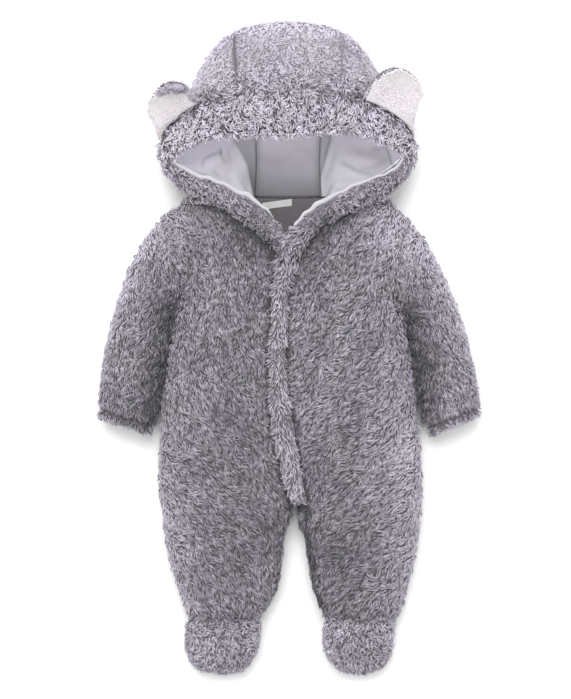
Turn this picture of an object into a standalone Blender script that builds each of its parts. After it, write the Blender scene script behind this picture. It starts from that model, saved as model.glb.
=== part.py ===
"""A baby's hooded fleece romper with footed legs, lying on its back as it is laid out on a flat surface.

Every piece that is cut and sewn is a wall of its own, open where the garment is open: at the wrists, the
neck and the front of the hood. The origin is on the surface, under the middle of the outline.
"""
import math

import bmesh
import bpy
import numpy as np

# ---------------------------------------------------------------- driving sizes
# All sizes here are in millimetres. The romper lies on its back: +X is the wearer's left, +Y runs
# from the feet to the hood, +Z points up out of its front. "right" and "left" are the wearer's.
WALL = 9.0          # fleece pile, ground cloth, wadding and lining, quilted as one wall
HOOD_WALL = 7.0     # pile, ground cloth and wadding of the hood, without its lining
LINING = 2.7        # the hood's smooth lining
SEAM_Z = 20.0       # height of the side seams, where front and back meet
GAP = 0.3           # pieces stay this far apart at a seam
ROLL = 24.0         # how far in from a side the underside comes down flat on the surface
CROWN_POWER = 0.80  # under 1 makes a section fuller than an ellipse
HEM_DEPTH = 12.0    # the turned hem at the wrist, from its stitch line to the edge

# Trunk and legs, from the ankle up. side: side seams. inner: inseams, or the middle of the front.
# top: height of the section. fork: 1 where the legs are apart, 0 where the front is whole.
BODY_COLUMNS = ("y", "side_right", "inner_right", "inner_left", "side_left", "top", "fork")
BODY = (
    (-322.0, -122.0, -34.0, 41.5, 132.0, 37.0, 1.0),
    (-312.0, -127.0, -27.5, 37.0, 136.5, 43.0, 1.0),
    (-296.0, -132.5, -18.0, 30.0, 141.5, 46.5, 1.0),
    (-272.0, -141.0, -9.5, 24.0, 148.0, 49.5, 1.0),
    (-246.0, -148.5, -7.0, 20.5, 153.5, 51.5, 1.0),
    (-222.0, -152.0, -4.0, 15.0, 157.5, 52.5, 1.0),
    (-202.0, -154.5, 3.0, 7.0, 159.5, 53.0, 0.96),
    (-180.0, -156.5, 9.0, 9.0, 161.2, 53.5, 0.62),
    (-150.0, -159.0, 4.5, 4.5, 161.0, 54.5, 0.22),
    (-108.0, -157.8, -7.0, -7.0, 158.0, 56.0, 0.0),
    (-55.0, -151.0, -12.0, -12.0, 149.5, 57.0, 0.0),
    (5.0, -142.6, -11.0, -11.0, 143.0, 57.0, 0.0),
    (40.0, -135.6, -10.5, -10.5, 136.0, 56.0, 0.0),
    (64.0, -131.0, -9.5, -9.5, 127.0, 55.0, 0.0),
)
PIT_Y = BODY[-1][0]

# The neckline, from the neck point, where the shoulder seam ends, to the middle.
NECKLINE_COLUMNS = ("along", "x", "y", "z")
NECK_FRONT = {
    "right": (
        (0.00, -122.0, 183.5, 27.0),
        (0.22, -91.0, 173.0, 42.0),
        (0.48, -55.5, 157.0, 44.5),
        (0.76, -25.5, 128.5, 45.5),
        (1.00, -2.5, 103.5, 46.0),
    ),
    "left": (
        (0.00, 120.0, 183.0, 27.0),
        (0.22, 89.0, 173.0, 42.0),
        (0.48, 57.0, 157.0, 44.5),
        (0.76, 27.5, 130.5, 45.5),
        (1.00, -2.5, 103.5, 46.0),
    ),
}
NECK_BACK = {
    "right": (
        (0.00, -122.0, 183.5, 27.0),
        (0.10, -113.0, 185.5, 11.0),
        (0.25, -93.0, 185.5, 0.0),
        (0.60, -48.0, 184.0, 0.0),
        (1.00, -2.0, 182.5, 0.0),
    ),
    "left": (
        (0.00, 120.0, 183.0, 27.0),
        (0.10, 111.0, 185.5, 11.0),
        (0.25, 91.0, 185.5, 0.0),
        (0.60, 46.0, 184.0, 0.0),
        (1.00, -2.0, 182.5, 0.0),
    ),
}
SHOULDER_SHARE = 0.16   # how much of the top edge of a panel is shoulder seam, the rest is neckline

# Sleeves: a ring across the sleeve in each row, from its outer edge to its inner edge.
# bow: how far the ring's plan curves towards the body.
SLEEVE_COLUMNS = ("along", "outer_x", "outer_y", "inner_x", "inner_y", "top", "bow")
SLEEVE = {
    "right": (
        (0.00, -151.0, 167.0, -131.0, 64.0, 44.0, 9.0),
        (0.09, -168.0, 146.0, -133.2, 61.8, 46.0, 7.0),
        (0.20, -186.5, 115.5, -135.4, 57.5, 47.0, 4.0),
        (0.34, -202.5, 78.0, -138.8, 46.0, 47.5, 1.0),
        (0.52, -217.0, 26.5, -146.0, 4.5, 47.0, 0.0),
        (0.68, -225.0, -12.5, -151.8, -34.0, 46.0, 0.0),
        (0.84, -229.5, -48.5, -157.3, -70.0, 44.0, 0.0),
        (0.945, -231.0, -68.0, -162.2, -90.5, 42.5, 0.0),
        (1.00, -231.5, -79.0, -167.5, -101.0, 39.0, 0.0),
    ),
    "left": (
        (0.00, 141.0, 162.0, 127.0, 64.0, 44.0, -6.0),
        (0.09, 157.5, 143.0, 129.4, 61.6, 46.0, -5.0),
        (0.20, 176.5, 112.0, 132.8, 56.8, 47.0, -3.0),
        (0.34, 194.0, 76.0, 137.8, 45.0, 47.5, -1.0),
        (0.52, 211.5, 26.5, 147.2, 3.5, 47.0, 0.0),
        (0.68, 221.5, -12.5, 152.2, -36.0, 46.0, 0.0),
        (0.84, 228.5, -48.5, 158.2, -72.0, 44.0, 0.0),
        (0.945, 231.0, -66.0, 163.5, -91.0, 42.5, 0.0),
        (1.00, 231.5, -76.0, 170.5, -102.0, 39.0, 0.0),
    ),
}
SLEEVE_LENGTH = 245.0

# Feet, from the ankle seam to the toe. The last row is the seam at the toe.
FOOT_COLUMNS = ("y", "x_right_side", "x_left_side", "top")
FOOT = {
    "right": (
        (-322.6, -121.5, -34.5, 37.5),
        (-332.0, -125.5, -33.5, 43.5),
        (-347.0, -127.2, -34.5, 46.0),
        (-361.0, -126.2, -37.0, 45.0),
        (-373.0, -121.5, -43.5, 41.0),
        (-382.5, -113.5, -51.0, 35.5),
        (-389.5, -103.0, -58.5, 29.0),
        (-394.5, -91.0, -68.0, SEAM_Z),
    ),
    "left": (
        (-322.6, 42.0, 131.5, 37.5),
        (-332.0, 39.5, 129.0, 43.5),
        (-347.0, 39.0, 127.0, 46.0),
        (-361.0, 40.5, 125.0, 45.0),
        (-373.0, 46.5, 121.0, 41.0),
        (-382.5, 54.5, 113.5, 35.5),
        (-389.5, 64.0, 104.0, 29.0),
        (-395.0, 75.5, 94.0, SEAM_Z),
    ),
}

# The edge band round the opening of the hood, from the middle at the top (0) to the point of the neck
# (1): its inner edge and its outer edge on each side, as (x, y, z).
HOOD_X = -1.8       # the hood's middle
BAND_STATIONS = (0.0, 0.125, 0.25, 0.375, 0.5, 0.625, 0.75, 0.875, 1.0)
BAND_RIM = {
    "right": (
        (-1.8, 254.5, 79.0), (-48.0, 254.0, 78.5), (-96.0, 251.0, 72.0), (-131.5, 236.5, 60.0), (-143.4, 221.5, 54.0),
        (-119.4, 206.0, 55.0), (-71.4, 187.8, 59.0), (-29.4, 162.6, 59.0), (-3.0, 131.0, 58.0),
    ),
    "left": (
        (-1.8, 254.5, 79.0), (50.0, 258.0, 78.5), (96.0, 253.5, 72.0), (128.5, 239.5, 60.0), (140.4, 225.5, 54.0),
        (119.0, 205.5, 55.0), (72.6, 187.8, 59.0), (24.6, 160.2, 59.0), (-2.0, 131.0, 58.0),
    ),
}
BAND_EDGE = {
    "right": (
        (-1.8, 300.0, 92.0), (-60.0, 299.0, 89.0), (-110.0, 291.0, 75.0), (-150.5, 260.0, 50.0), (-151.5, 221.0, 38.0),
        (-122.5, 185.3, 36.0), (-83.5, 172.5, 47.5), (-35.5, 139.0, 50.5), (-3.0, 104.8, 50.5),
    ),
    "left": (
        (-1.8, 300.0, 92.0), (56.0, 299.0, 89.0), (100.0, 291.0, 76.0), (143.5, 263.5, 52.0), (149.5, 226.0, 38.0),
        (120.5, 185.0, 36.0), (84.0, 172.0, 47.5), (34.0, 145.5, 50.5), (-2.0, 104.8, 50.5),
    ),
}
BAND_THICK = 6.0
BAND_PUFF = 3.0     # how much the band crowns between its edges
BAND_TO_HOOD = 0.625    # the band's station where the hood's outside ends, at the neck point

# The hood's outside: each row is an arch from the middle to the side, as (half width, y, z) at each
# station. The rows run on from the outer edge of the band, over the crown and under, to the neck seam.
HOOD_STATIONS = ("mid", "seam", "dome", "ear", "corner", "neck")
HOOD = {
    "front_crown": ((0, 330.0, 90), (61, 327.0, 83), (111, 311.0, 58), (139.0, 277.0, 30), (151, 229.0, 20), (121.5, 187.5, 22)),
    "upper_crown": ((0, 366.0, 72), (64, 357.5, 60), (108.5, 330.0, 30), (132.0, 284.0, 8), (140, 233.0, 4), (117, 188.5, 9)),
    "top_fold": ((0, 395.0, 38), (63, 384.0, 32), (100.0, 349.0, 13), (118.0, 292.0, 0), (122, 238.0, 0), (109, 188.0, 2)),
    "under": ((0, 330.0, 0), (50, 322.0, 0), (80.0, 296.0, 0), (96.0, 262.0, 0), (102, 226.0, 0), (99, 187.5, 0)),
    "neck_seam": ((0, 183.2, 0), (18, 183.5, 0), (37.0, 184.3, 0), (56.0, 185.4, 0), (75, 186.2, 0), (92, 186.4, 0)),
}

# The lining inside the hood: its visible face, in rows from the band's inner edge, over the inside of
# the crown, down to the back and along it to the neck seam. The first row comes from the band.
LINING_STATIONS = (0.0, 0.2, 0.4, 0.6, 0.75, 0.88, 1.0)
LINING_AT_BAND = (0.0, 0.118, 0.25, 0.375, 0.5, 0.68, 0.86)
LINING_ROWS = {
    "behind_band": ((0, 300.0, 79), (54, 297.0, 76), (102, 283.0, 61), (131, 252.0, 42), (137, 222.0, 33), (98, 199.0, 40), (42, 171.5, 45)),
    "inside_crown": ((0, 368.0, 52), (50, 358.0, 44), (89, 322.0, 26), (110, 272.0, 18), (115, 226.0, 17), (85, 199.0, 29), (45, 175.0, 37)),
    "top_of_back": ((0, 325.0, 10.3), (42, 315.0, 10.3), (64, 290.0, 10.6), (78, 256.0, 12), (84, 222.0, 15), (69, 199.0, 23), (48, 178.0, 28)),
    "back": ((0, 235.0, 10.3), (38, 233.0, 10.3), (49, 228.0, 12), (57, 216.0, 17), (60, 204.5, 20), (55, 194.5, 21), (49, 181.5, 20)),
    "neck_seam": ((0, 184.4, 10.3), (40, 184.6, 10.3), (42, 184.8, 10.4), (43.5, 185.0, 10.5), (45, 185.2, 10.6), (46.5, 185.4, 10.7), (48, 185.6, 10.8)),
}

# The ears: base along the outer edge of the band (hood stations), then the tip.
EAR_BASE = {"right": (-0.372, -0.655), "left": (0.315, 0.62)}
EAR_TIP = {"right": (-156.0, 309.5, 89.0), "left": (140.5, 328.0, 93.0)}
EAR_BACK, EAR_FRONT = 6.0, 4.0
EAR_CUP = 6.0       # how far the middle of an ear is hollowed
EAR_NARROW = {"right": 0.12, "left": 0.24}     # how much its outer side is drawn in below the tip
EAR_RIM = 0.90      # how far towards the edge the white inner piece reaches

# The placket down the middle of the front: its edges in plan, from the neck to the crotch.
PLACKET_COLUMNS = ("y", "x_right_edge", "x_left_edge")
PLACKET = (
    (103.0, -13.5, 9.0),
    (74.0, -19.5, 0.5),
    (20.0, -21.5, -4.0),
    (-30.0, -23.5, -4.5),
    (-78.0, -21.0, 1.5),
    (-122.0, -13.5, 8.5),
    (-160.0, -4.5, 16.5),
    (-184.0, 1.5, 19.5),
)
PLACKET_RISE = 5.5

LABEL_SIZE = (36.0, 8.5, 0.8)
LABEL_PLACE = (-15.0, 175.5)


# ---------------------------------------------------------------- the form
def hermite(xs, ys, x):
    """Smooth interpolation between the rows ys of a table, which stand at xs, rising."""
    xs, ys, x = np.asarray(xs, float), np.asarray(ys, float), np.asarray(x, float)
    if ys.ndim == 1:
        return hermite(xs, ys[:, None], x)[..., 0]
    step = np.diff(xs)
    slope = np.diff(ys, axis=0) / step[:, None]
    tangent = np.empty_like(ys)
    tangent[0], tangent[-1] = slope[0], slope[-1]
    w0, w1 = step[1:, None], step[:-1, None]
    tangent[1:-1] = (slope[:-1] * w0 + slope[1:] * w1) / (w0 + w1)
    i = np.clip(np.searchsorted(xs, x, side="right") - 1, 0, len(xs) - 2)
    h = step[i]
    s = ((x - xs[i]) / h)[..., None]
    h = h[..., None]
    return (
        (2 * s**3 - 3 * s**2 + 1) * ys[i]
        + (s**3 - 2 * s**2 + s) * h * tangent[i]
        + (-2 * s**3 + 3 * s**2) * ys[i + 1]
        + (s**3 - s**2) * h * tangent[i + 1]
    )


def table(rows, x):
    """The row of a table at x, its first column."""
    rows = np.array(rows, float)
    return hermite(rows[:, 0], rows[:, 1:], x)


def smooth(x):
    x = np.clip(x, 0.0, 1.0)
    return x * x * (3 - 2 * x)


def rolled(distance, radius):
    """0 well inside a section, 1 at its side: how the underside turns up to a seam."""
    c = np.clip(1 - distance / np.maximum(radius, 1.0), 0.0, 1.0)
    return 1 - np.sqrt(1 - c**2)


def lower_body(side, face, u, y, q):
    """A point below the armpit. u: side seam 0 to middle 1. q: depth into the wall."""
    found = table(BODY, y)
    middle = (found[..., 1] + found[..., 2]) / 2
    if side == "right":
        out, inner = found[..., 0], np.minimum(found[..., 1], middle)
    else:
        out, inner = found[..., 3], np.maximum(found[..., 2], middle)
    top, fork = found[..., 4], np.clip(found[..., 5], 0.0, 1.0)
    inward = 1.0 if side == "right" else -1.0
    end = math.pi / 2 * (1 + fork)
    theta = u * end
    share = (1 - np.cos(theta)) / (1 - np.cos(end))
    x0 = out + inward * q
    x1 = inner - inward * q * smooth(fork * 1.15)
    x = x0 + (x1 - x0) * share
    if face == "front":
        z = SEAM_Z + (top - q - SEAM_Z) * np.maximum(np.sin(theta), 0.0) ** CROWN_POWER
    else:
        radius = ROLL - 0.5 * q
        inseam = rolled(np.abs(x - x1), radius) * smooth(fork * 1.05 - 0.05)
        z = q + (SEAM_Z - q) * np.maximum(rolled(np.abs(x - x0), radius), inseam)
    return np.stack([x, np.broadcast_to(y, x.shape), z], -1)


def ring_point(row, turn, q, squeeze=0.0):
    """A point of a ring across a sleeve. turn: 0 at its outer edge, 0.25 on top, 0.5 at its inner edge."""
    ox, oy, ix, iy, top, bow = (np.asarray(row, float)[..., i] for i in range(6))
    angle = 2 * math.pi * turn
    length = np.hypot(ix - ox, iy - oy)
    ax, ay = (ix - ox) / length, (iy - oy) / length
    f = (1 - np.cos(angle)) / 2
    f = (q + squeeze + f * (length - 2 * q - 2 * squeeze)) / length
    bend = bow * 4 * f * (1 - f)
    x = ox + (ix - ox) * f - ay * bend
    y = oy + (iy - oy) * f + ax * bend
    s = np.sin(angle)
    up = SEAM_Z + (top - q - squeeze - SEAM_Z) * np.abs(s) ** CROWN_POWER
    reach = np.clip(np.minimum(f, 1 - f) * length - q, 0, None)
    down = q + squeeze + (SEAM_Z - q - squeeze) * rolled(reach, 0.85 * ROLL - 0.5 * q)
    return np.stack([x, y, np.where(s >= 0, up, down)], -1)


def top_edge(side, face, share, q):
    """The top edge of a panel: the shoulder seam from the armhole to the neck point, then the neckline."""
    rows = (NECK_FRONT if face == "front" else NECK_BACK)[side]
    tip = ring_point(SLEEVE[side][0][1:], 0.0, q)
    neck = np.array(rows[0][1:], float)
    neck = neck + np.array([0.0, -q, 0.0])
    s = np.clip(share / SHOULDER_SHARE, 0, 1)[..., None]
    t = np.clip((share - SHOULDER_SHARE) / (1 - SHOULDER_SHARE), 0, 1)
    line = table(rows, t)
    if face == "front":
        # the inner side of the wall lies lower at the neckline, and further in at the shoulder
        line = line + np.stack([0 * t, -q * (1 - smooth(t / 0.22)), -q * smooth(t / 0.22)], -1)
        line[..., 2] = np.where(t <= 0, neck[2], line[..., 2])
    else:
        line = line + np.stack([0 * t, -q * (1 - smooth(t / 0.10)), q * smooth(t / 0.10)], -1)
    shoulder = tip + (neck - tip) * s
    return np.where((share < SHOULDER_SHARE)[..., None], shoulder, line)


def upper_body(side, face, u, rise, q):
    """A point above the armpit. rise: armpit 0 to the shoulder seam and neckline 1."""
    turn = 0.5 * (1 - rise) if face == "front" else 0.5 + 0.5 * rise
    loop = ring_point(SLEEVE[side][0][1:], turn, q)
    start = lower_body(side, face, u, np.float64(PIT_Y), q)
    low = lower_body(side, face, np.zeros_like(u), np.float64(PIT_Y), q)
    curve = 1 - np.cos(math.pi / 2 * u)
    share = curve + (u - curve) * smooth(rise * 1.6)
    edge = top_edge(side, face, u, q)
    tip = top_edge(side, face, np.zeros_like(u), q)
    # between the armpit line, the armhole and the top edge
    k = rise[..., None]
    across = start + (edge - start) * k
    side_line = low + (tip - low) * k
    p = across + (loop - side_line) * ((1 - share) ** 1.6)[..., None]
    if face == "front":
        crown = start[..., 2] + (np.maximum(edge[..., 2], 43.0 - q) - start[..., 2]) * rise
        blend = 1 - np.clip(rise, 0, 1) ** 5
        p[..., 2] = edge[..., 2] + (crown - edge[..., 2]) * blend ** 0.5
        p[..., 2] += (loop[..., 2] - (tip[..., 2] + (low[..., 2] + (np.maximum(tip[..., 2], 43.0 - q) - low[..., 2]) * rise - tip[..., 2]) * blend ** 0.5)) * ((1 - share) ** 3)
    else:
        c = rolled((1 - rise) * 100.0, ROLL)
        p[..., 2] = start[..., 2] + (edge[..., 2] - start[..., 2]) * c
        p[..., 2] += (loop[..., 2] - (low[..., 2] + (tip[..., 2] - low[..., 2]) * c)) * ((1 - share) ** 3)
    return p


def body_point(side, face, u, v, q=0.0):
    """A point of the body. v: ankle 0 to armpit 1, then to the shoulder seam and neckline 2."""
    u, v = np.broadcast_arrays(np.asarray(u, float), np.asarray(v, float))
    y = BODY[0][0] + (PIT_Y - BODY[0][0]) * np.clip(v, 0, 1)
    low = lower_body(side, face, u, y, q)
    high = upper_body(side, face, u, np.clip(v - 1, 0, 1), q)
    return np.where((v > 1)[..., None], high, low)


def sleeve_point(side, turn, along, q=0.0):
    """A point of a sleeve. turn goes once round; along runs from the armhole to the wrist."""
    turn, along = np.broadcast_arrays(np.asarray(turn, float), np.asarray(along, float))
    row = table(SLEEVE[side], along)
    depth = (1 - along) * SLEEVE_LENGTH
    groove = 2.2 * np.exp(-(((depth - HEM_DEPTH) / 2.6) ** 2))
    lip = 3.2 * np.clip(1 - depth / 5.0, 0, 1) ** 2
    return ring_point(row, turn, q, groove + (lip if q == 0 else -lip * 0.4))


def foot_point(side, face, u, v, q=0.0):
    """A point of a foot. u runs across it; v from the ankle to the toe."""
    u, v = np.broadcast_arrays(np.asarray(u, float), np.asarray(v, float))
    rows = np.array(FOOT[side])
    row = hermite(np.linspace(0, 1, len(rows)), rows, v)
    y, a, b, top = (row[..., i] for i in range(4))
    toe = smooth((v - 0.55) / 0.45)
    y = y + q * toe
    a, b = a + q * (1 - 0.35 * toe), b - q * (1 - 0.35 * toe)
    x = a + (b - a) * (1 - np.cos(math.pi * u)) / 2
    if face == "top":
        crown = np.maximum(top - q - SEAM_Z, 0.0)
        z = SEAM_Z + crown * np.maximum(np.sin(math.pi * u), 0) ** CROWN_POWER
    else:
        reach = np.minimum(np.minimum(x - a, b - x), np.abs(y - (rows[-1, 0] + q)) * 1.1)
        z = q + (SEAM_Z - q) * rolled(reach, ROLL * 0.8 - 0.5 * q)
    return np.stack([x, y, z], -1)


def both_sides(rows):
    """Stations from the middle to one side, made into stations from side to side."""
    if isinstance(rows, dict):
        return np.array(rows["right"][:0:-1] + rows["left"], float)
    half = np.array(rows, float)
    whole = np.concatenate([half[:0:-1] * np.array([-1.0, 1.0, 1.0]), half])
    return whole + np.array([HOOD_X, 0.0, 0.0])


def two_way(stations):
    return np.concatenate([-np.array(stations, float)[:0:-1], stations])


def across(at_k, t, stations):
    """Smooth interpolation of each point's own row at_k across the stations."""
    flat_t = t.reshape(-1)
    xs = two_way(stations)
    count = len(xs)
    step = np.diff(xs)
    slope = np.diff(at_k, axis=1) / step[:, None]
    tangent = np.empty_like(at_k)
    tangent[:, 0], tangent[:, -1] = slope[:, 0], slope[:, -1]
    w0, w1 = step[1:, None], step[:-1, None]
    tangent[:, 1:-1] = (slope[:, :-1] * w0 + slope[:, 1:] * w1) / (w0 + w1)
    i = np.clip(np.searchsorted(xs, flat_t, side="right") - 1, 0, count - 2)
    h = step[i][:, None]
    s = (flat_t - xs[i])[:, None] / h
    n = np.arange(len(flat_t))
    return (
        (2 * s**3 - 3 * s**2 + 1) * at_k[n, i]
        + (s**3 - 2 * s**2 + s) * h * tangent[n, i]
        + (-2 * s**3 + 3 * s**2) * at_k[n, i + 1]
        + (s**3 - s**2) * h * tangent[n, i + 1]
    ).reshape(*t.shape, 3)


def band_curve(rows, t):
    return hermite(two_way(BAND_STATIONS), both_sides(rows), t)


def band_normal(t):
    """The direction out of the edge band's face."""
    e = 0.02
    lo, hi = np.clip(t - e, -1, 1), np.clip(t + e, -1, 1)
    along = band_curve(BAND_RIM, hi) - band_curve(BAND_RIM, lo) + band_curve(BAND_EDGE, hi) - band_curve(BAND_EDGE, lo)
    n = np.cross(along, band_curve(BAND_EDGE, t) - band_curve(BAND_RIM, t))
    return n / np.maximum(np.linalg.norm(n, axis=-1, keepdims=True), 1e-9)


def joint_normal(t):
    """The direction shared by the band and the hood's outside where they are sewn together."""
    n = band_normal(t) - hood_slope(np.clip(t / BAND_TO_HOOD, -1, 1), np.zeros(np.shape(t)))
    return n / np.maximum(np.linalg.norm(n, axis=-1, keepdims=True), 1e-9)


def band_point(t, f, q=0.0):
    """A point of the edge band. t: point of the neck -1, round the opening, back to it 1. f: inner edge 0, outer edge 1."""
    t, f = np.broadcast_arrays(np.asarray(t, float), np.asarray(f, float))
    a, b = band_curve(BAND_RIM, t), band_curve(BAND_EDGE, t)
    n = band_normal(t)
    sewn = smooth((f - 0.4) / 0.6) * smooth((BAND_TO_HOOD + 0.035 - np.abs(t)) / 0.035)
    deep = n + (joint_normal(t) - n) * sewn[..., None]
    p = a + (b - a) * f[..., None]
    return p + n * (BAND_PUFF * 4 * f * (1 - f))[..., None] - deep * np.asarray(q, float)[..., None]


def hood_surface(t, k):
    """A point of the hood's outside. t: right neck point -1, middle 0, left neck point 1. k: edge of the band 0, then the rows of HOOD."""
    t, k = np.broadcast_arrays(np.asarray(t, float), np.asarray(k, float))
    stations = np.array(BAND_STATIONS[:6]) / BAND_TO_HOOD
    first = band_curve(BAND_EDGE, two_way(stations) * BAND_TO_HOOD)
    rows = np.array([first] + [both_sides(r) for r in HOOD.values()])
    at_k = hermite(np.arange(len(rows)), rows.reshape(len(rows), -1), k.reshape(-1)).reshape(-1, rows.shape[1], 3)
    p = across(at_k, t, stations)
    p[..., 2] = np.maximum(p[..., 2], 0.0)
    return p


def hood_slope(t, k):
    """The direction from the hood's outside into the hood."""
    e = 0.02
    last = len(HOOD)
    dk = hood_surface(t, np.clip(k + e, 0, last)) - hood_surface(t, np.clip(k - e, 0, last))
    dt = hood_surface(np.clip(t + e, -1, 1), k) - hood_surface(np.clip(t - e, -1, 1), k)
    n = np.cross(dk, dt)
    return n / np.maximum(np.linalg.norm(n, axis=-1, keepdims=True), 1e-9)


def hood_inward(t, k):
    n = hood_slope(t, k)
    sewn = smooth(1 - k / 0.35)[..., None]
    return n + (-joint_normal(t * BAND_TO_HOOD) - n) * sewn


def hood_point(t, k, q=0.0):
    """A point in the hood's wall, q deep."""
    t, k = np.broadcast_arrays(np.asarray(t, float), np.asarray(k, float))
    return hood_surface(t, k) + hood_inward(t, k) * np.asarray(q, float)[..., None]


def lining_surface(t, k):
    """A point of the lining's visible face. k: the band's inner edge 0, then the rows of LINING_ROWS."""
    t, k = np.broadcast_arrays(np.asarray(t, float), np.asarray(k, float))
    first = band_point(two_way(LINING_AT_BAND), np.full(2 * len(LINING_AT_BAND) - 1, 0.03), BAND_THICK + 0.5 + LINING)
    rows = np.array([first] + [both_sides(r) for r in LINING_ROWS.values()])
    at_k = hermite(np.arange(len(rows)), rows.reshape(len(rows), -1), k.reshape(-1)).reshape(-1, rows.shape[1], 3)
    p = across(at_k, t, LINING_STATIONS)
    p[..., 2] = np.maximum(p[..., 2], 10.2)
    return p


def lining_point(t, k, q=0.0):
    """A point of the lining, q deep below its visible face."""
    t, k = np.broadcast_arrays(np.asarray(t, float), np.asarray(k, float))
    e = 0.02
    last = len(LINING_ROWS)
    dk = lining_surface(t, np.clip(k + e, 0, last)) - lining_surface(t, np.clip(k - e, 0, last))
    dt = lining_surface(np.clip(t + e, -1, 1), k) - lining_surface(np.clip(t - e, -1, 1), k)
    n = np.cross(dt, dk)
    n /= np.maximum(np.linalg.norm(n, axis=-1, keepdims=True), 1e-9)
    return lining_surface(t, k) + n * np.asarray(q, float)[..., None]


def ear_point(side, a, b, q=0.0):
    """A point of an ear. a: along its base, b: from the base to the tip, q: towards its front."""
    a, b = np.broadcast_arrays(np.asarray(a, float), np.asarray(b, float))
    sign = -1.0 if side == "right" else 1.0
    t0, t1 = EAR_BASE[side]
    foot = lambda s: hood_surface(t0 + (t1 - t0) * s, np.full(np.shape(s), 0.2))
    base = foot(a)
    p0, p1 = foot(np.array(0.0)), foot(np.array(1.0))
    mid = (p0 + p1) / 2
    side_way = (p1 - p0) / np.linalg.norm(p1 - p0)
    up = np.array(EAR_TIP[side]) - mid
    up = up - side_way * np.dot(up, side_way)
    height = np.linalg.norm(up)
    up /= height
    front = np.cross(side_way, up) * sign
    front = front if front[2] > 0 else -front
    width = np.sqrt(np.clip(1 - b**2.6, 0, 1)) * (1 - EAR_NARROW[side] * np.maximum(2 * a - 1, 0) * np.sin(math.pi * np.clip(b * 1.15, 0, 1)))
    lean = np.dot(np.array(EAR_TIP[side]) - mid, side_way)
    flat = mid + side_way * ((a - 0.5) * np.linalg.norm(p1 - p0) * width + lean * b)[..., None] + up * (height * b)[..., None]
    hold = (1 - smooth(b / 0.35))[..., None]
    middle = flat + (base - (mid + side_way * ((a - 0.5) * np.linalg.norm(p1 - p0))[..., None])) * hold
    cup = EAR_CUP * (1 - (2 * a - 1) ** 2) * np.sin(math.pi * np.clip(b, 0, 1)) ** 0.8
    depth = np.asarray(q, float) + EAR_BACK
    # at its base the ear spreads over the band instead of standing square to itself
    at = (t0 + (t1 - t0) * a) * BAND_TO_HOOD
    on_band = band_curve(BAND_RIM, at) - band_curve(BAND_EDGE, at)
    on_band /= np.linalg.norm(on_band, axis=-1, keepdims=True)
    sewn = on_band * depth[..., None] + joint_normal(at) * (2.6 + 1.5 * a**4 + 0.42 * depth)[..., None]
    return middle + sewn * hold + front * (depth - cup + 3.0)[..., None] * (1 - hold)


def front_at(x, y, q=0.0):
    """The point of the front under a place in plan, for places near its middle, q deep in its wall."""
    x, y = np.broadcast_arrays(np.asarray(x, float), np.asarray(y, float))
    inner = table(BODY, np.minimum(y, PIT_Y))
    is_right = x < (inner[..., 1] + inner[..., 2]) / 2
    found = []
    for side in ("right", "left"):
        u, v = np.ones(x.shape), np.ones(x.shape)
        for _ in range(4):
            low, high = np.zeros(x.shape), np.full(x.shape, 2.0)
            for _ in range(24):
                v = (low + high) / 2
                below = body_point(side, "front", u, v)[..., 1] < y
                low, high = np.where(below, v, low), np.where(below, high, v)
            low, high = np.full(x.shape, 0.3), np.ones(x.shape)
            for _ in range(22):
                u = (low + high) / 2
                at = body_point(side, "front", u, v)[..., 0]
                short = at < x if side == "right" else at > x
                low, high = np.where(short, u, low), np.where(short, high, u)
        found.append(body_point(side, "front", u, v, q))
    return np.where(is_right[..., None], found[0], found[1])


# ---------------------------------------------------------------- solids
def wall(name, outer, inner, colour, roughness, ring=False):
    """A closed wall between two grids of points: outer faces away from the garment's inside."""
    rows, columns = outer.shape[:2]
    mesh = bmesh.new()
    layers = [[[mesh.verts.new(p * 0.001) for p in row] for row in grid] for grid in (outer, inner)]
    out, inn = layers
    last = columns if ring else columns - 1
    for i in range(rows - 1):
        for j in range(last):
            n = (j + 1) % columns
            mesh.faces.new((out[i][j], out[i][n], out[i + 1][n], out[i + 1][j]))
            mesh.faces.new((inn[i][j], inn[i + 1][j], inn[i + 1][n], inn[i][n]))
    for j in range(last):
        n = (j + 1) % columns
        mesh.faces.new((out[0][n], out[0][j], inn[0][j], inn[0][n]))
        mesh.faces.new((out[-1][j], out[-1][n], inn[-1][n], inn[-1][j]))
    if not ring:
        for i in range(rows - 1):
            mesh.faces.new((out[i][0], out[i + 1][0], inn[i + 1][0], inn[i][0]))
            mesh.faces.new((out[i + 1][-1], out[i][-1], inn[i][-1], inn[i + 1][-1]))
    bmesh.ops.triangulate(mesh, faces=mesh.faces[:], quad_method="SHORT_EDGE")
    if mesh.calc_volume(signed=True) < 0:
        bmesh.ops.reverse_faces(mesh, faces=mesh.faces[:])
    data = bpy.data.meshes.new(name)
    mesh.to_mesh(data)
    mesh.free()
    data.shade_smooth()
    data.set_sharp_from_angle(angle=math.radians(50))
    thing = bpy.data.objects.new(name, data)
    bpy.context.scene.collection.objects.link(thing)
    thing.parent = romper
    finish = bpy.data.materials.new(name + "_cloth")
    finish.use_nodes = True
    shader = finish.node_tree.nodes["Principled BSDF"]
    shader.inputs["Base Color"].default_value = (*colour, 1.0)
    shader.inputs["Roughness"].default_value = roughness
    shader.inputs["Metallic"].default_value = 0.0
    data.materials.append(finish)
    return thing


def spread(low, high, count):
    return np.linspace(low, high, count)


for old in list(bpy.data.objects):
    bpy.data.objects.remove(old, do_unlink=True)
romper = bpy.data.objects.new("romper", None)
bpy.context.scene.collection.objects.link(romper)

FLEECE, LIGHT_FLEECE, SMOOTH_LINING, WHITE = (0.30, 0.29, 0.31), (0.42, 0.41, 0.43), (0.56, 0.55, 0.60), (0.82, 0.79, 0.80)

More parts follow.
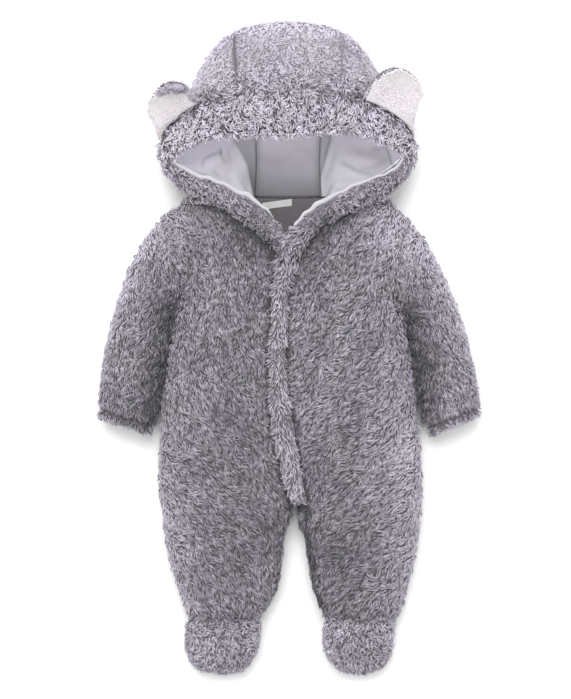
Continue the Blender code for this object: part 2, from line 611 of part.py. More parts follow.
# stations up the body: closer where it turns, at the ankle, the crotch and the shoulder
FRONT_V = np.concatenate([spread(0, 0.16, 4)[:-1], spread(0.16, 0.46, 8)[:-1], spread(0.46, 1, 6)[:-1], spread(1, 2, 7) ** 1.0])
BACK_V = np.concatenate([spread(0, 0.46, 7)[:-1], spread(0.46, 1, 4)[:-1], [1.0, 1.3, 1.6, 1.8, 1.92, 2.0]])
FRONT_U = np.array([0.0, 0.06, 0.14, 0.24, 0.36, 0.48, 0.60, 0.72, 0.84, 0.93, 1.0])
BACK_U = np.array([0.0, 0.10, 0.20, 0.34, 0.50, 0.68, 0.84, 1.0])


def panel(side, face):
    u, v = (FRONT_U, FRONT_V) if face == "front" else (BACK_U, BACK_V)
    uu, vv = np.meshgrid(u, v)
    sign = 1.0 if face == "front" else -1.0
    middle = -1.0 if side == "right" else 1.0
    grids = []
    for q in (0.0, WALL):
        p = body_point(side, face, uu, vv, q)
        p[:, 0, 2] += sign * GAP / 2
        p[-1, uu[-1] <= SHOULDER_SHARE, 2] += sign * GAP / 2 * (uu[-1, uu[-1] <= SHOULDER_SHARE] > 0)
        fork = table(BODY, np.clip(p[:, -1, 1], BODY[0][0], PIT_Y))[:, 5]
        p[:, -1, 0] += middle * GAP / 2
        p[:, -1, 2] += sign * GAP / 2 * (fork > 0.9)
        if face == "back":
            p[..., 2] = np.maximum(p[..., 2], 0.0 if q == 0 else q)
        grids.append(p)
    wall(f"{face}_{side}", *grids, FLEECE, 0.95)


for side in ("right", "left"):
    for face in ("front", "back"):
        panel(side, face)

for side in ("right", "left"):
    turn, along = np.meshgrid(spread(0, 1, 19)[:-1], np.array([0.016, 0.09, 0.2, 0.34, 0.52, 0.68, 0.84, 0.92, 0.952, 0.985, 1.0]))
    wall(f"sleeve_{side}", sleeve_point(side, turn, along), sleeve_point(side, turn, along, WALL), FLEECE, 0.95, ring=True)
    u, v = np.meshgrid(spread(0, 1, 9), spread(0, 1, 8))
    for face, name, sign in (("top", "foot_top", 1.0), ("sole", "foot_sole", -1.0)):
        grids = []
        for q in (0.0, WALL):
            p = foot_point(side, face, u, v, q)
            p[:, (0, -1), 2] += sign * GAP / 2
            p[-1, 1:-1, 2] += sign * GAP / 2
            grids.append(p)
        wall(f"{name}_{side}", *grids, FLEECE, 0.95)

# the hood: outside in three strips, edge band, lining in three strips
HOOD_K = np.array([0.09, 0.35, 0.7, 1.0, 1.35, 1.7, 2.0, 2.35, 2.7, 3.0, 3.4, 4.0, 5.0])
for name, t in (
    ("hood_side_right", spread(-1, -0.2, 9)),
    ("hood_middle", spread(-0.2, 0.2, 5)),
    ("hood_side_left", spread(0.2, 1, 9)),
):
    tt, kk = np.meshgrid(t, HOOD_K)
    grids = []
    for q in (0.0, HOOD_WALL):
        p = hood_point(tt, kk, q)
        if t[0] > -1:
            p[:, 0, 0] += GAP / 2
        if t[-1] < 1:
            p[:, -1, 0] -= GAP / 2
        grids.append(p)
    wall(name, *grids, LIGHT_FLEECE, 0.95)

tt, ff = np.meshgrid(spread(-1, 1, 33), spread(0, 1, 4))
wall("hood_band", band_point(tt, ff), band_point(tt, ff, BAND_THICK), LIGHT_FLEECE, 0.95)

LINING_K = np.array([0.0, 0.5, 1.0, 1.5, 2.0, 2.5, 3.0, 3.5, 4.0, 4.5, 5.0])
for name, t in (
    ("hood_lining_right", spread(-1, -0.2, 9)),
    ("hood_lining_middle", spread(-0.2, 0.2, 3)),
    ("hood_lining_left", spread(0.2, 1, 9)),
):
    tt, kk = np.meshgrid(t, LINING_K)
    grids = []
    for q in (0.0, -LINING):
        p = lining_point(tt, kk, q)
        if t[0] > -1:
            p[:, 0, 0] += GAP / 2
        if t[-1] < 1:
            p[:, -1, 0] -= GAP / 2
        grids.append(p)
    wall(name, *grids, SMOOTH_LINING, 0.75)

# the ears: a fleece back with a rim, and a white front inside the rim
for side in ("right", "left"):
    a, b = np.meshgrid(spread(0, 1, 7), np.array([0.0, 0.18, 0.36, 0.54, 0.7, 0.83, 0.93, 0.985]))
    wall(f"ear_outer_{side}", ear_point(side, a, b, -EAR_BACK), ear_point(side, a, b, -2 * GAP), LIGHT_FLEECE, 0.95)
    a, b = np.meshgrid(spread(0.5 - EAR_RIM / 2, 0.5 + EAR_RIM / 2, 7), np.array([0.04, 0.2, 0.36, 0.52, 0.66, 0.78, 0.86]))
    wall(f"ear_inner_{side}", ear_point(side, a, b, EAR_FRONT), ear_point(side, a, b, GAP), WHITE, 0.9)

# the placket lies on the front
y = spread(PLACKET[0][0], PLACKET[-1][0], 18)
rows = np.array(PLACKET)[::-1]
edges = hermite(rows[:, 0], rows[:, 1:], y)
across_strip = spread(0, 1, 5)
px = edges[:, :1] + (edges[:, 1:] - edges[:, :1]) * across_strip
under = front_at(px, np.repeat(y[:, None], 5, 1))
under[..., 2] += GAP + 0.4
over = under.copy()
over[..., 2] += 1.2 + (PLACKET_RISE - 1.2) * np.sin(math.pi * across_strip) ** 0.7
wall("placket", over, under, LIGHT_FLEECE, 0.95)

# the lining of the back, seen through the neck
t, k = np.meshgrid(spread(-1, 1, 7), spread(0, 1, 5))
x = HOOD_X + t * (62.0 - 14.0 * k)
y = 182.6 - 77.0 * k
under = np.stack([x, y, np.full_like(x, WALL + GAP)], -1)
over = under + np.array([0.0, 0.0, 1.4])
wall("back_lining", over, under, SMOOTH_LINING, 0.8)

# the label, sewn on below the neck seam
w, h, thick = LABEL_SIZE
t, k = np.meshgrid(spread(-0.5, 0.5, 2), spread(-0.5, 0.5, 2))
x, y = LABEL_PLACE[0] + t * w, LABEL_PLACE[1] + k * h + t * 5.0
under = np.stack([x, y, np.full_like(x, WALL + 2 * GAP + 1.4)], -1)
wall("label", under + np.array([0.0, 0.0, thick]), under, WHITE, 0.6)
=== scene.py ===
"""The looks of the hooded fleece romper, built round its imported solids.

Each fleece piece is a thin shell of ground cloth that follows its solid, with a pile of curled locks on it.
The hood's lining, the lining of the back, the label and the placket are shells with their own creases.
"""
import math

import bpy
import numpy as np
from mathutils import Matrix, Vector
from mathutils.kdtree import KDTree


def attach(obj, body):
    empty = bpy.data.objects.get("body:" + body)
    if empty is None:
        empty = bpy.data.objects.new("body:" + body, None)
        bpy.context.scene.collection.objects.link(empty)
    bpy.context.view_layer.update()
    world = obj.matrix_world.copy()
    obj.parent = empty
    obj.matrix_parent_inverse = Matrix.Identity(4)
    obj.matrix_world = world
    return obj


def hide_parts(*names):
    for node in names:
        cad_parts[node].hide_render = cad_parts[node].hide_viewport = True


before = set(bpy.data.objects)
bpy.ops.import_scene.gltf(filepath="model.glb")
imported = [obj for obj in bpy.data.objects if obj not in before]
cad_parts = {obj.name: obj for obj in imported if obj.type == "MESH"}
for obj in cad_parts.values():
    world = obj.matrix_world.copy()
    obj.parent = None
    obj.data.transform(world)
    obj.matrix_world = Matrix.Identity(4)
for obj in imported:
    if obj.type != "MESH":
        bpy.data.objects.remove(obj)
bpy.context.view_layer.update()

# ---------------------------------------------------------------- driving sizes
# All sizes here are in millimetres. The romper lies on its back: +X is the wearer's left, +Y runs
# from the feet to the hood, +Z points up out of its front. "right" and "left" are the wearer's.
WALL = 9.0          # fleece pile, ground cloth, wadding and lining, quilted as one wall
HOOD_WALL = 7.0     # pile, ground cloth and wadding of the hood, without its lining
LINING = 2.7        # the hood's smooth lining
SEAM_Z = 20.0       # height of the side seams, where front and back meet
GAP = 0.3           # pieces stay this far apart at a seam
ROLL = 24.0         # how far in from a side the underside comes down flat on the surface
CROWN_POWER = 0.80  # under 1 makes a section fuller than an ellipse
HEM_DEPTH = 12.0    # the turned hem at the wrist, from its stitch line to the edge

# Trunk and legs, from the ankle up. side: side seams. inner: inseams, or the middle of the front.
# top: height of the section. fork: 1 where the legs are apart, 0 where the front is whole.
BODY_COLUMNS = ("y", "side_right", "inner_right", "inner_left", "side_left", "top", "fork")
BODY = (
    (-322.0, -122.0, -34.0, 41.5, 132.0, 37.0, 1.0),
    (-312.0, -127.0, -27.5, 37.0, 136.5, 43.0, 1.0),
    (-296.0, -132.5, -18.0, 30.0, 141.5, 46.5, 1.0),
    (-272.0, -141.0, -9.5, 24.0, 148.0, 49.5, 1.0),
    (-246.0, -148.5, -7.0, 20.5, 153.5, 51.5, 1.0),
    (-222.0, -152.0, -4.0, 15.0, 157.5, 52.5, 1.0),
    (-202.0, -154.5, 3.0, 7.0, 159.5, 53.0, 0.96),
    (-180.0, -156.5, 9.0, 9.0, 161.2, 53.5, 0.62),
    (-150.0, -159.0, 4.5, 4.5, 161.0, 54.5, 0.22),
    (-108.0, -157.8, -7.0, -7.0, 158.0, 56.0, 0.0),
    (-55.0, -151.0, -12.0, -12.0, 149.5, 57.0, 0.0),
    (5.0, -142.6, -11.0, -11.0, 143.0, 57.0, 0.0),
    (40.0, -135.6, -10.5, -10.5, 136.0, 56.0, 0.0),
    (64.0, -131.0, -9.5, -9.5, 127.0, 55.0, 0.0),
)
PIT_Y = BODY[-1][0]

# The neckline, from the neck point, where the shoulder seam ends, to the middle.
NECKLINE_COLUMNS = ("along", "x", "y", "z")
NECK_FRONT = {
    "right": (
        (0.00, -122.0, 183.5, 27.0),
        (0.22, -91.0, 173.0, 42.0),
        (0.48, -55.5, 157.0, 44.5),
        (0.76, -25.5, 128.5, 45.5),
        (1.00, -2.5, 103.5, 46.0),
    ),
    "left": (
        (0.00, 120.0, 183.0, 27.0),
        (0.22, 89.0, 173.0, 42.0),
        (0.48, 57.0, 157.0, 44.5),
        (0.76, 27.5, 130.5, 45.5),
        (1.00, -2.5, 103.5, 46.0),
    ),
}
NECK_BACK = {
    "right": (
        (0.00, -122.0, 183.5, 27.0),
        (0.10, -113.0, 185.5, 11.0),
        (0.25, -93.0, 185.5, 0.0),
        (0.60, -48.0, 184.0, 0.0),
        (1.00, -2.0, 182.5, 0.0),
    ),
    "left": (
        (0.00, 120.0, 183.0, 27.0),
        (0.10, 111.0, 185.5, 11.0),
        (0.25, 91.0, 185.5, 0.0),
        (0.60, 46.0, 184.0, 0.0),
        (1.00, -2.0, 182.5, 0.0),
    ),
}
SHOULDER_SHARE = 0.16   # how much of the top edge of a panel is shoulder seam, the rest is neckline

# Sleeves: a ring across the sleeve in each row, from its outer edge to its inner edge.
# bow: how far the ring's plan curves towards the body.
SLEEVE_COLUMNS = ("along", "outer_x", "outer_y", "inner_x", "inner_y", "top", "bow")
SLEEVE = {
    "right": (
        (0.00, -151.0, 167.0, -131.0, 64.0, 44.0, 9.0),
        (0.09, -168.0, 146.0, -133.2, 61.8, 46.0, 7.0),
        (0.20, -186.5, 115.5, -135.4, 57.5, 47.0, 4.0),
        (0.34, -202.5, 78.0, -138.8, 46.0, 47.5, 1.0),
        (0.52, -217.0, 26.5, -146.0, 4.5, 47.0, 0.0),
        (0.68, -225.0, -12.5, -151.8, -34.0, 46.0, 0.0),
        (0.84, -229.5, -48.5, -157.3, -70.0, 44.0, 0.0),
        (0.945, -231.0, -68.0, -162.2, -90.5, 42.5, 0.0),
        (1.00, -231.5, -79.0, -167.5, -101.0, 39.0, 0.0),
    ),
    "left": (
        (0.00, 141.0, 162.0, 127.0, 64.0, 44.0, -6.0),
        (0.09, 157.5, 143.0, 129.4, 61.6, 46.0, -5.0),
        (0.20, 176.5, 112.0, 132.8, 56.8, 47.0, -3.0),
        (0.34, 194.0, 76.0, 137.8, 45.0, 47.5, -1.0),
        (0.52, 211.5, 26.5, 147.2, 3.5, 47.0, 0.0),
        (0.68, 221.5, -12.5, 152.2, -36.0, 46.0, 0.0),
        (0.84, 228.5, -48.5, 158.2, -72.0, 44.0, 0.0),
        (0.945, 231.0, -66.0, 163.5, -91.0, 42.5, 0.0),
        (1.00, 231.5, -76.0, 170.5, -102.0, 39.0, 0.0),
    ),
}
SLEEVE_LENGTH = 245.0

# Feet, from the ankle seam to the toe. The last row is the seam at the toe.
FOOT_COLUMNS = ("y", "x_right_side", "x_left_side", "top")
FOOT = {
    "right": (
        (-322.6, -121.5, -34.5, 37.5),
        (-332.0, -125.5, -33.5, 43.5),
        (-347.0, -127.2, -34.5, 46.0),
        (-361.0, -126.2, -37.0, 45.0),
        (-373.0, -121.5, -43.5, 41.0),
        (-382.5, -113.5, -51.0, 35.5),
        (-389.5, -103.0, -58.5, 29.0),
        (-394.5, -91.0, -68.0, SEAM_Z),
    ),
    "left": (
        (-322.6, 42.0, 131.5, 37.5),
        (-332.0, 39.5, 129.0, 43.5),
        (-347.0, 39.0, 127.0, 46.0),
        (-361.0, 40.5, 125.0, 45.0),
        (-373.0, 46.5, 121.0, 41.0),
        (-382.5, 54.5, 113.5, 35.5),
        (-389.5, 64.0, 104.0, 29.0),
        (-395.0, 75.5, 94.0, SEAM_Z),
    ),
}

# The edge band round the opening of the hood, from the middle at the top (0) to the point of the neck
# (1): its inner edge and its outer edge on each side, as (x, y, z).
HOOD_X = -1.8       # the hood's middle
BAND_STATIONS = (0.0, 0.125, 0.25, 0.375, 0.5, 0.625, 0.75, 0.875, 1.0)
BAND_RIM = {
    "right": (
        (-1.8, 254.5, 79.0), (-48.0, 254.0, 78.5), (-96.0, 251.0, 72.0), (-131.5, 236.5, 60.0), (-143.4, 221.5, 54.0),
        (-119.4, 206.0, 55.0), (-71.4, 187.8, 59.0), (-29.4, 162.6, 59.0), (-3.0, 131.0, 58.0),
    ),
    "left": (
        (-1.8, 254.5, 79.0), (50.0, 258.0, 78.5), (96.0, 253.5, 72.0), (128.5, 239.5, 60.0), (140.4, 225.5, 54.0),
        (119.0, 205.5, 55.0), (72.6, 187.8, 59.0), (24.6, 160.2, 59.0), (-2.0, 131.0, 58.0),
    ),
}
BAND_EDGE = {
    "right": (
        (-1.8, 300.0, 92.0), (-60.0, 299.0, 89.0), (-110.0, 291.0, 75.0), (-150.5, 260.0, 50.0), (-151.5, 221.0, 38.0),
        (-122.5, 185.3, 36.0), (-83.5, 172.5, 47.5), (-35.5, 139.0, 50.5), (-3.0, 104.8, 50.5),
    ),
    "left": (
        (-1.8, 300.0, 92.0), (56.0, 299.0, 89.0), (100.0, 291.0, 76.0), (143.5, 263.5, 52.0), (149.5, 226.0, 38.0),
        (120.5, 185.0, 36.0), (84.0, 172.0, 47.5), (34.0, 145.5, 50.5), (-2.0, 104.8, 50.5),
    ),
}
BAND_THICK = 6.0
BAND_PUFF = 3.0     # how much the band crowns between its edges
BAND_TO_HOOD = 0.625    # the band's station where the hood's outside ends, at the neck point

# The hood's outside: each row is an arch from the middle to the side, as (half width, y, z) at each
# station. The rows run on from the outer edge of the band, over the crown and under, to the neck seam.
HOOD_STATIONS = ("mid", "seam", "dome", "ear", "corner", "neck")
HOOD = {
    "front_crown": ((0, 330.0, 90), (61, 327.0, 83), (111, 311.0, 58), (139.0, 277.0, 30), (151, 229.0, 20), (121.5, 187.5, 22)),
    "upper_crown": ((0, 366.0, 72), (64, 357.5, 60), (108.5, 330.0, 30), (132.0, 284.0, 8), (140, 233.0, 4), (117, 188.5, 9)),
    "top_fold": ((0, 395.0, 38), (63, 384.0, 32), (100.0, 349.0, 13), (118.0, 292.0, 0), (122, 238.0, 0), (109, 188.0, 2)),
    "under": ((0, 330.0, 0), (50, 322.0, 0), (80.0, 296.0, 0), (96.0, 262.0, 0), (102, 226.0, 0), (99, 187.5, 0)),
    "neck_seam": ((0, 183.2, 0), (18, 183.5, 0), (37.0, 184.3, 0), (56.0, 185.4, 0), (75, 186.2, 0), (92, 186.4, 0)),
}

# The lining inside the hood: its visible face, in rows from the band's inner edge, over the inside of
# the crown, down to the back and along it to the neck seam. The first row comes from the band.
LINING_STATIONS = (0.0, 0.2, 0.4, 0.6, 0.75, 0.88, 1.0)
LINING_AT_BAND = (0.0, 0.118, 0.25, 0.375, 0.5, 0.68, 0.86)
LINING_ROWS = {
    "behind_band": ((0, 300.0, 79), (54, 297.0, 76), (102, 283.0, 61), (131, 252.0, 42), (137, 222.0, 33), (98, 199.0, 40), (42, 171.5, 45)),
    "inside_crown": ((0, 368.0, 52), (50, 358.0, 44), (89, 322.0, 26), (110, 272.0, 18), (115, 226.0, 17), (85, 199.0, 29), (45, 175.0, 37)),
    "top_of_back": ((0, 325.0, 10.3), (42, 315.0, 10.3), (64, 290.0, 10.6), (78, 256.0, 12), (84, 222.0, 15), (69, 199.0, 23), (48, 178.0, 28)),
    "back": ((0, 235.0, 10.3), (38, 233.0, 10.3), (49, 228.0, 12), (57, 216.0, 17), (60, 204.5, 20), (55, 194.5, 21), (49, 181.5, 20)),
    "neck_seam": ((0, 184.4, 10.3), (40, 184.6, 10.3), (42, 184.8, 10.4), (43.5, 185.0, 10.5), (45, 185.2, 10.6), (46.5, 185.4, 10.7), (48, 185.6, 10.8)),
}

# The ears: base along the outer edge of the band (hood stations), then the tip.
EAR_BASE = {"right": (-0.372, -0.655), "left": (0.315, 0.62)}
EAR_TIP = {"right": (-156.0, 309.5, 89.0), "left": (140.5, 328.0, 93.0)}
EAR_BACK, EAR_FRONT = 6.0, 4.0
EAR_CUP = 6.0       # how far the middle of an ear is hollowed
EAR_NARROW = {"right": 0.12, "left": 0.24}     # how much its outer side is drawn in below the tip
EAR_RIM = 0.90      # how far towards the edge the white inner piece reaches

# The placket down the middle of the front: its edges in plan, from the neck to the crotch.
PLACKET_COLUMNS = ("y", "x_right_edge", "x_left_edge")
PLACKET = (
    (103.0, -13.5, 9.0),
    (74.0, -19.5, 0.5),
    (20.0, -21.5, -4.0),
    (-30.0, -23.5, -4.5),
    (-78.0, -21.0, 1.5),
    (-122.0, -13.5, 8.5),
    (-160.0, -4.5, 16.5),
    (-184.0, 1.5, 19.5),
)
PLACKET_RISE = 5.5

LABEL_SIZE = (36.0, 8.5, 0.8)
LABEL_PLACE = (-15.0, 175.5)


# ---------------------------------------------------------------- the form
def hermite(xs, ys, x):
    """Smooth interpolation between the rows ys of a table, which stand at xs, rising."""
    xs, ys, x = np.asarray(xs, float), np.asarray(ys, float), np.asarray(x, float)
    if ys.ndim == 1:
        return hermite(xs, ys[:, None], x)[..., 0]
    step = np.diff(xs)
    slope = np.diff(ys, axis=0) / step[:, None]
    tangent = np.empty_like(ys)
    tangent[0], tangent[-1] = slope[0], slope[-1]
    w0, w1 = step[1:, None], step[:-1, None]
    tangent[1:-1] = (slope[:-1] * w0 + slope[1:] * w1) / (w0 + w1)
    i = np.clip(np.searchsorted(xs, x, side="right") - 1, 0, len(xs) - 2)
    h = step[i]
    s = ((x - xs[i]) / h)[..., None]
    h = h[..., None]
    return (
        (2 * s**3 - 3 * s**2 + 1) * ys[i]
        + (s**3 - 2 * s**2 + s) * h * tangent[i]
        + (-2 * s**3 + 3 * s**2) * ys[i + 1]
        + (s**3 - s**2) * h * tangent[i + 1]
    )


def table(rows, x):
    """The row of a table at x, its first column."""
    rows = np.array(rows, float)
    return hermite(rows[:, 0], rows[:, 1:], x)


def smooth(x):
    x = np.clip(x, 0.0, 1.0)
    return x * x * (3 - 2 * x)


def rolled(distance, radius):
    """0 well inside a section, 1 at its side: how the underside turns up to a seam."""
    c = np.clip(1 - distance / np.maximum(radius, 1.0), 0.0, 1.0)
    return 1 - np.sqrt(1 - c**2)


def lower_body(side, face, u, y, q):
    """A point below the armpit. u: side seam 0 to middle 1. q: depth into the wall."""
    found = table(BODY, y)
    middle = (found[..., 1] + found[..., 2]) / 2
    if side == "right":
        out, inner = found[..., 0], np.minimum(found[..., 1], middle)
    else:
        out, inner = found[..., 3], np.maximum(found[..., 2], middle)
    top, fork = found[..., 4], np.clip(found[..., 5], 0.0, 1.0)
    inward = 1.0 if side == "right" else -1.0
    end = math.pi / 2 * (1 + fork)
    theta = u * end
    share = (1 - np.cos(theta)) / (1 - np.cos(end))
    x0 = out + inward * q
    x1 = inner - inward * q * smooth(fork * 1.15)
    x = x0 + (x1 - x0) * share
    if face == "front":
        z = SEAM_Z + (top - q - SEAM_Z) * np.maximum(np.sin(theta), 0.0) ** CROWN_POWER
    else:
        radius = ROLL - 0.5 * q
        inseam = rolled(np.abs(x - x1), radius) * smooth(fork * 1.05 - 0.05)
        z = q + (SEAM_Z - q) * np.maximum(rolled(np.abs(x - x0), radius), inseam)
    return np.stack([x, np.broadcast_to(y, x.shape), z], -1)


def ring_point(row, turn, q, squeeze=0.0):
    """A point of a ring across a sleeve. turn: 0 at its outer edge, 0.25 on top, 0.5 at its inner edge."""
    ox, oy, ix, iy, top, bow = (np.asarray(row, float)[..., i] for i in range(6))
    angle = 2 * math.pi * turn
    length = np.hypot(ix - ox, iy - oy)
    ax, ay = (ix - ox) / length, (iy - oy) / length
    f = (1 - np.cos(angle)) / 2
    f = (q + squeeze + f * (length - 2 * q - 2 * squeeze)) / length
    bend = bow * 4 * f * (1 - f)
    x = ox + (ix - ox) * f - ay * bend
    y = oy + (iy - oy) * f + ax * bend
    s = np.sin(angle)
    up = SEAM_Z + (top - q - squeeze - SEAM_Z) * np.abs(s) ** CROWN_POWER
    reach = np.clip(np.minimum(f, 1 - f) * length - q, 0, None)
    down = q + squeeze + (SEAM_Z - q - squeeze) * rolled(reach, 0.85 * ROLL - 0.5 * q)
    return np.stack([x, y, np.where(s >= 0, up, down)], -1)


def top_edge(side, face, share, q):
    """The top edge of a panel: the shoulder seam from the armhole to the neck point, then the neckline."""
    rows = (NECK_FRONT if face == "front" else NECK_BACK)[side]
    tip = ring_point(SLEEVE[side][0][1:], 0.0, q)
    neck = np.array(rows[0][1:], float)
    neck = neck + np.array([0.0, -q, 0.0])
    s = np.clip(share / SHOULDER_SHARE, 0, 1)[..., None]
    t = np.clip((share - SHOULDER_SHARE) / (1 - SHOULDER_SHARE), 0, 1)
    line = table(rows, t)
    if face == "front":
        # the inner side of the wall lies lower at the neckline, and further in at the shoulder
        line = line + np.stack([0 * t, -q * (1 - smooth(t / 0.22)), -q * smooth(t / 0.22)], -1)
        line[..., 2] = np.where(t <= 0, neck[2], line[..., 2])
    else:
        line = line + np.stack([0 * t, -q * (1 - smooth(t / 0.10)), q * smooth(t / 0.10)], -1)
    shoulder = tip + (neck - tip) * s
    return np.where((share < SHOULDER_SHARE)[..., None], shoulder, line)


def upper_body(side, face, u, rise, q):
    """A point above the armpit. rise: armpit 0 to the shoulder seam and neckline 1."""
    turn = 0.5 * (1 - rise) if face == "front" else 0.5 + 0.5 * rise
    loop = ring_point(SLEEVE[side][0][1:], turn, q)
    start = lower_body(side, face, u, np.float64(PIT_Y), q)
    low = lower_body(side, face, np.zeros_like(u), np.float64(PIT_Y), q)
    curve = 1 - np.cos(math.pi / 2 * u)
    share = curve + (u - curve) * smooth(rise * 1.6)
    edge = top_edge(side, face, u, q)
    tip = top_edge(side, face, np.zeros_like(u), q)
    # between the armpit line, the armhole and the top edge
    k = rise[..., None]
    across = start + (edge - start) * k
    side_line = low + (tip - low) * k
    p = across + (loop - side_line) * ((1 - share) ** 1.6)[..., None]
    if face == "front":
        crown = start[..., 2] + (np.maximum(edge[..., 2], 43.0 - q) - start[..., 2]) * rise
        blend = 1 - np.clip(rise, 0, 1) ** 5
        p[..., 2] = edge[..., 2] + (crown - edge[..., 2]) * blend ** 0.5
        p[..., 2] += (loop[..., 2] - (tip[..., 2] + (low[..., 2] + (np.maximum(tip[..., 2], 43.0 - q) - low[..., 2]) * rise - tip[..., 2]) * blend ** 0.5)) * ((1 - share) ** 3)
    else:
        c = rolled((1 - rise) * 100.0, ROLL)
        p[..., 2] = start[..., 2] + (edge[..., 2] - start[..., 2]) * c
        p[..., 2] += (loop[..., 2] - (low[..., 2] + (tip[..., 2] - low[..., 2]) * c)) * ((1 - share) ** 3)
    return p


def body_point(side, face, u, v, q=0.0):
    """A point of the body. v: ankle 0 to armpit 1, then to the shoulder seam and neckline 2."""
    u, v = np.broadcast_arrays(np.asarray(u, float), np.asarray(v, float))
    y = BODY[0][0] + (PIT_Y - BODY[0][0]) * np.clip(v, 0, 1)
    low = lower_body(side, face, u, y, q)
    high = upper_body(side, face, u, np.clip(v - 1, 0, 1), q)
    return np.where((v > 1)[..., None], high, low)


def sleeve_point(side, turn, along, q=0.0):
    """A point of a sleeve. turn goes once round; along runs from the armhole to the wrist."""
    turn, along = np.broadcast_arrays(np.asarray(turn, float), np.asarray(along, float))
    row = table(SLEEVE[side], along)
    depth = (1 - along) * SLEEVE_LENGTH
    groove = 2.2 * np.exp(-(((depth - HEM_DEPTH) / 2.6) ** 2))
    lip = 3.2 * np.clip(1 - depth / 5.0, 0, 1) ** 2
    return ring_point(row, turn, q, groove + (lip if q == 0 else -lip * 0.4))


def foot_point(side, face, u, v, q=0.0):
    """A point of a foot. u runs across it; v from the ankle to the toe."""
    u, v = np.broadcast_arrays(np.asarray(u, float), np.asarray(v, float))
    rows = np.array(FOOT[side])
    row = hermite(np.linspace(0, 1, len(rows)), rows, v)
    y, a, b, top = (row[..., i] for i in range(4))
    toe = smooth((v - 0.55) / 0.45)
    y = y + q * toe
    a, b = a + q * (1 - 0.35 * toe), b - q * (1 - 0.35 * toe)
    x = a + (b - a) * (1 - np.cos(math.pi * u)) / 2
    if face == "top":
        crown = np.maximum(top - q - SEAM_Z, 0.0)
        z = SEAM_Z + crown * np.maximum(np.sin(math.pi * u), 0) ** CROWN_POWER
    else:
        reach = np.minimum(np.minimum(x - a, b - x), np.abs(y - (rows[-1, 0] + q)) * 1.1)
        z = q + (SEAM_Z - q) * rolled(reach, ROLL * 0.8 - 0.5 * q)
    return np.stack([x, y, z], -1)


def both_sides(rows):
    """Stations from the middle to one side, made into stations from side to side."""
    if isinstance(rows, dict):
        return np.array(rows["right"][:0:-1] + rows["left"], float)
    half = np.array(rows, float)
    whole = np.concatenate([half[:0:-1] * np.array([-1.0, 1.0, 1.0]), half])
    return whole + np.array([HOOD_X, 0.0, 0.0])


def two_way(stations):
    return np.concatenate([-np.array(stations, float)[:0:-1], stations])


def across(at_k, t, stations):
    """Smooth interpolation of each point's own row at_k across the stations."""
    flat_t = t.reshape(-1)
    xs = two_way(stations)
    count = len(xs)
    step = np.diff(xs)
    slope = np.diff(at_k, axis=1) / step[:, None]
    tangent = np.empty_like(at_k)
    tangent[:, 0], tangent[:, -1] = slope[:, 0], slope[:, -1]
    w0, w1 = step[1:, None], step[:-1, None]
    tangent[:, 1:-1] = (slope[:, :-1] * w0 + slope[:, 1:] * w1) / (w0 + w1)
    i = np.clip(np.searchsorted(xs, flat_t, side="right") - 1, 0, count - 2)
    h = step[i][:, None]
    s = (flat_t - xs[i])[:, None] / h
    n = np.arange(len(flat_t))
    return (
        (2 * s**3 - 3 * s**2 + 1) * at_k[n, i]
        + (s**3 - 2 * s**2 + s) * h * tangent[n, i]
        + (-2 * s**3 + 3 * s**2) * at_k[n, i + 1]
        + (s**3 - s**2) * h * tangent[n, i + 1]
    ).reshape(*t.shape, 3)


def band_curve(rows, t):
    return hermite(two_way(BAND_STATIONS), both_sides(rows), t)


def band_normal(t):
    """The direction out of the edge band's face."""
    e = 0.02
    lo, hi = np.clip(t - e, -1, 1), np.clip(t + e, -1, 1)
    along = band_curve(BAND_RIM, hi) - band_curve(BAND_RIM, lo) + band_curve(BAND_EDGE, hi) - band_curve(BAND_EDGE, lo)
    n = np.cross(along, band_curve(BAND_EDGE, t) - band_curve(BAND_RIM, t))
    return n / np.maximum(np.linalg.norm(n, axis=-1, keepdims=True), 1e-9)


def joint_normal(t):
    """The direction shared by the band and the hood's outside where they are sewn together."""
    n = band_normal(t) - hood_slope(np.clip(t / BAND_TO_HOOD, -1, 1), np.zeros(np.shape(t)))
    return n / np.maximum(np.linalg.norm(n, axis=-1, keepdims=True), 1e-9)


def band_point(t, f, q=0.0):
    """A point of the edge band. t: point of the neck -1, round the opening, back to it 1. f: inner edge 0, outer edge 1."""
    t, f = np.broadcast_arrays(np.asarray(t, float), np.asarray(f, float))
    a, b = band_curve(BAND_RIM, t), band_curve(BAND_EDGE, t)
    n = band_normal(t)
    sewn = smooth((f - 0.4) / 0.6) * smooth((BAND_TO_HOOD + 0.035 - np.abs(t)) / 0.035)
    deep = n + (joint_normal(t) - n) * sewn[..., None]
    p = a + (b - a) * f[..., None]
    return p + n * (BAND_PUFF * 4 * f * (1 - f))[..., None] - deep * np.asarray(q, float)[..., None]


def hood_surface(t, k):
    """A point of the hood's outside. t: right neck point -1, middle 0, left neck point 1. k: edge of the band 0, then the rows of HOOD."""
    t, k = np.broadcast_arrays(np.asarray(t, float), np.asarray(k, float))
    stations = np.array(BAND_STATIONS[:6]) / BAND_TO_HOOD
    first = band_curve(BAND_EDGE, two_way(stations) * BAND_TO_HOOD)
    rows = np.array([first] + [both_sides(r) for r in HOOD.values()])
    at_k = hermite(np.arange(len(rows)), rows.reshape(len(rows), -1), k.reshape(-1)).reshape(-1, rows.shape[1], 3)
    p = across(at_k, t, stations)
    p[..., 2] = np.maximum(p[..., 2], 0.0)
    return p


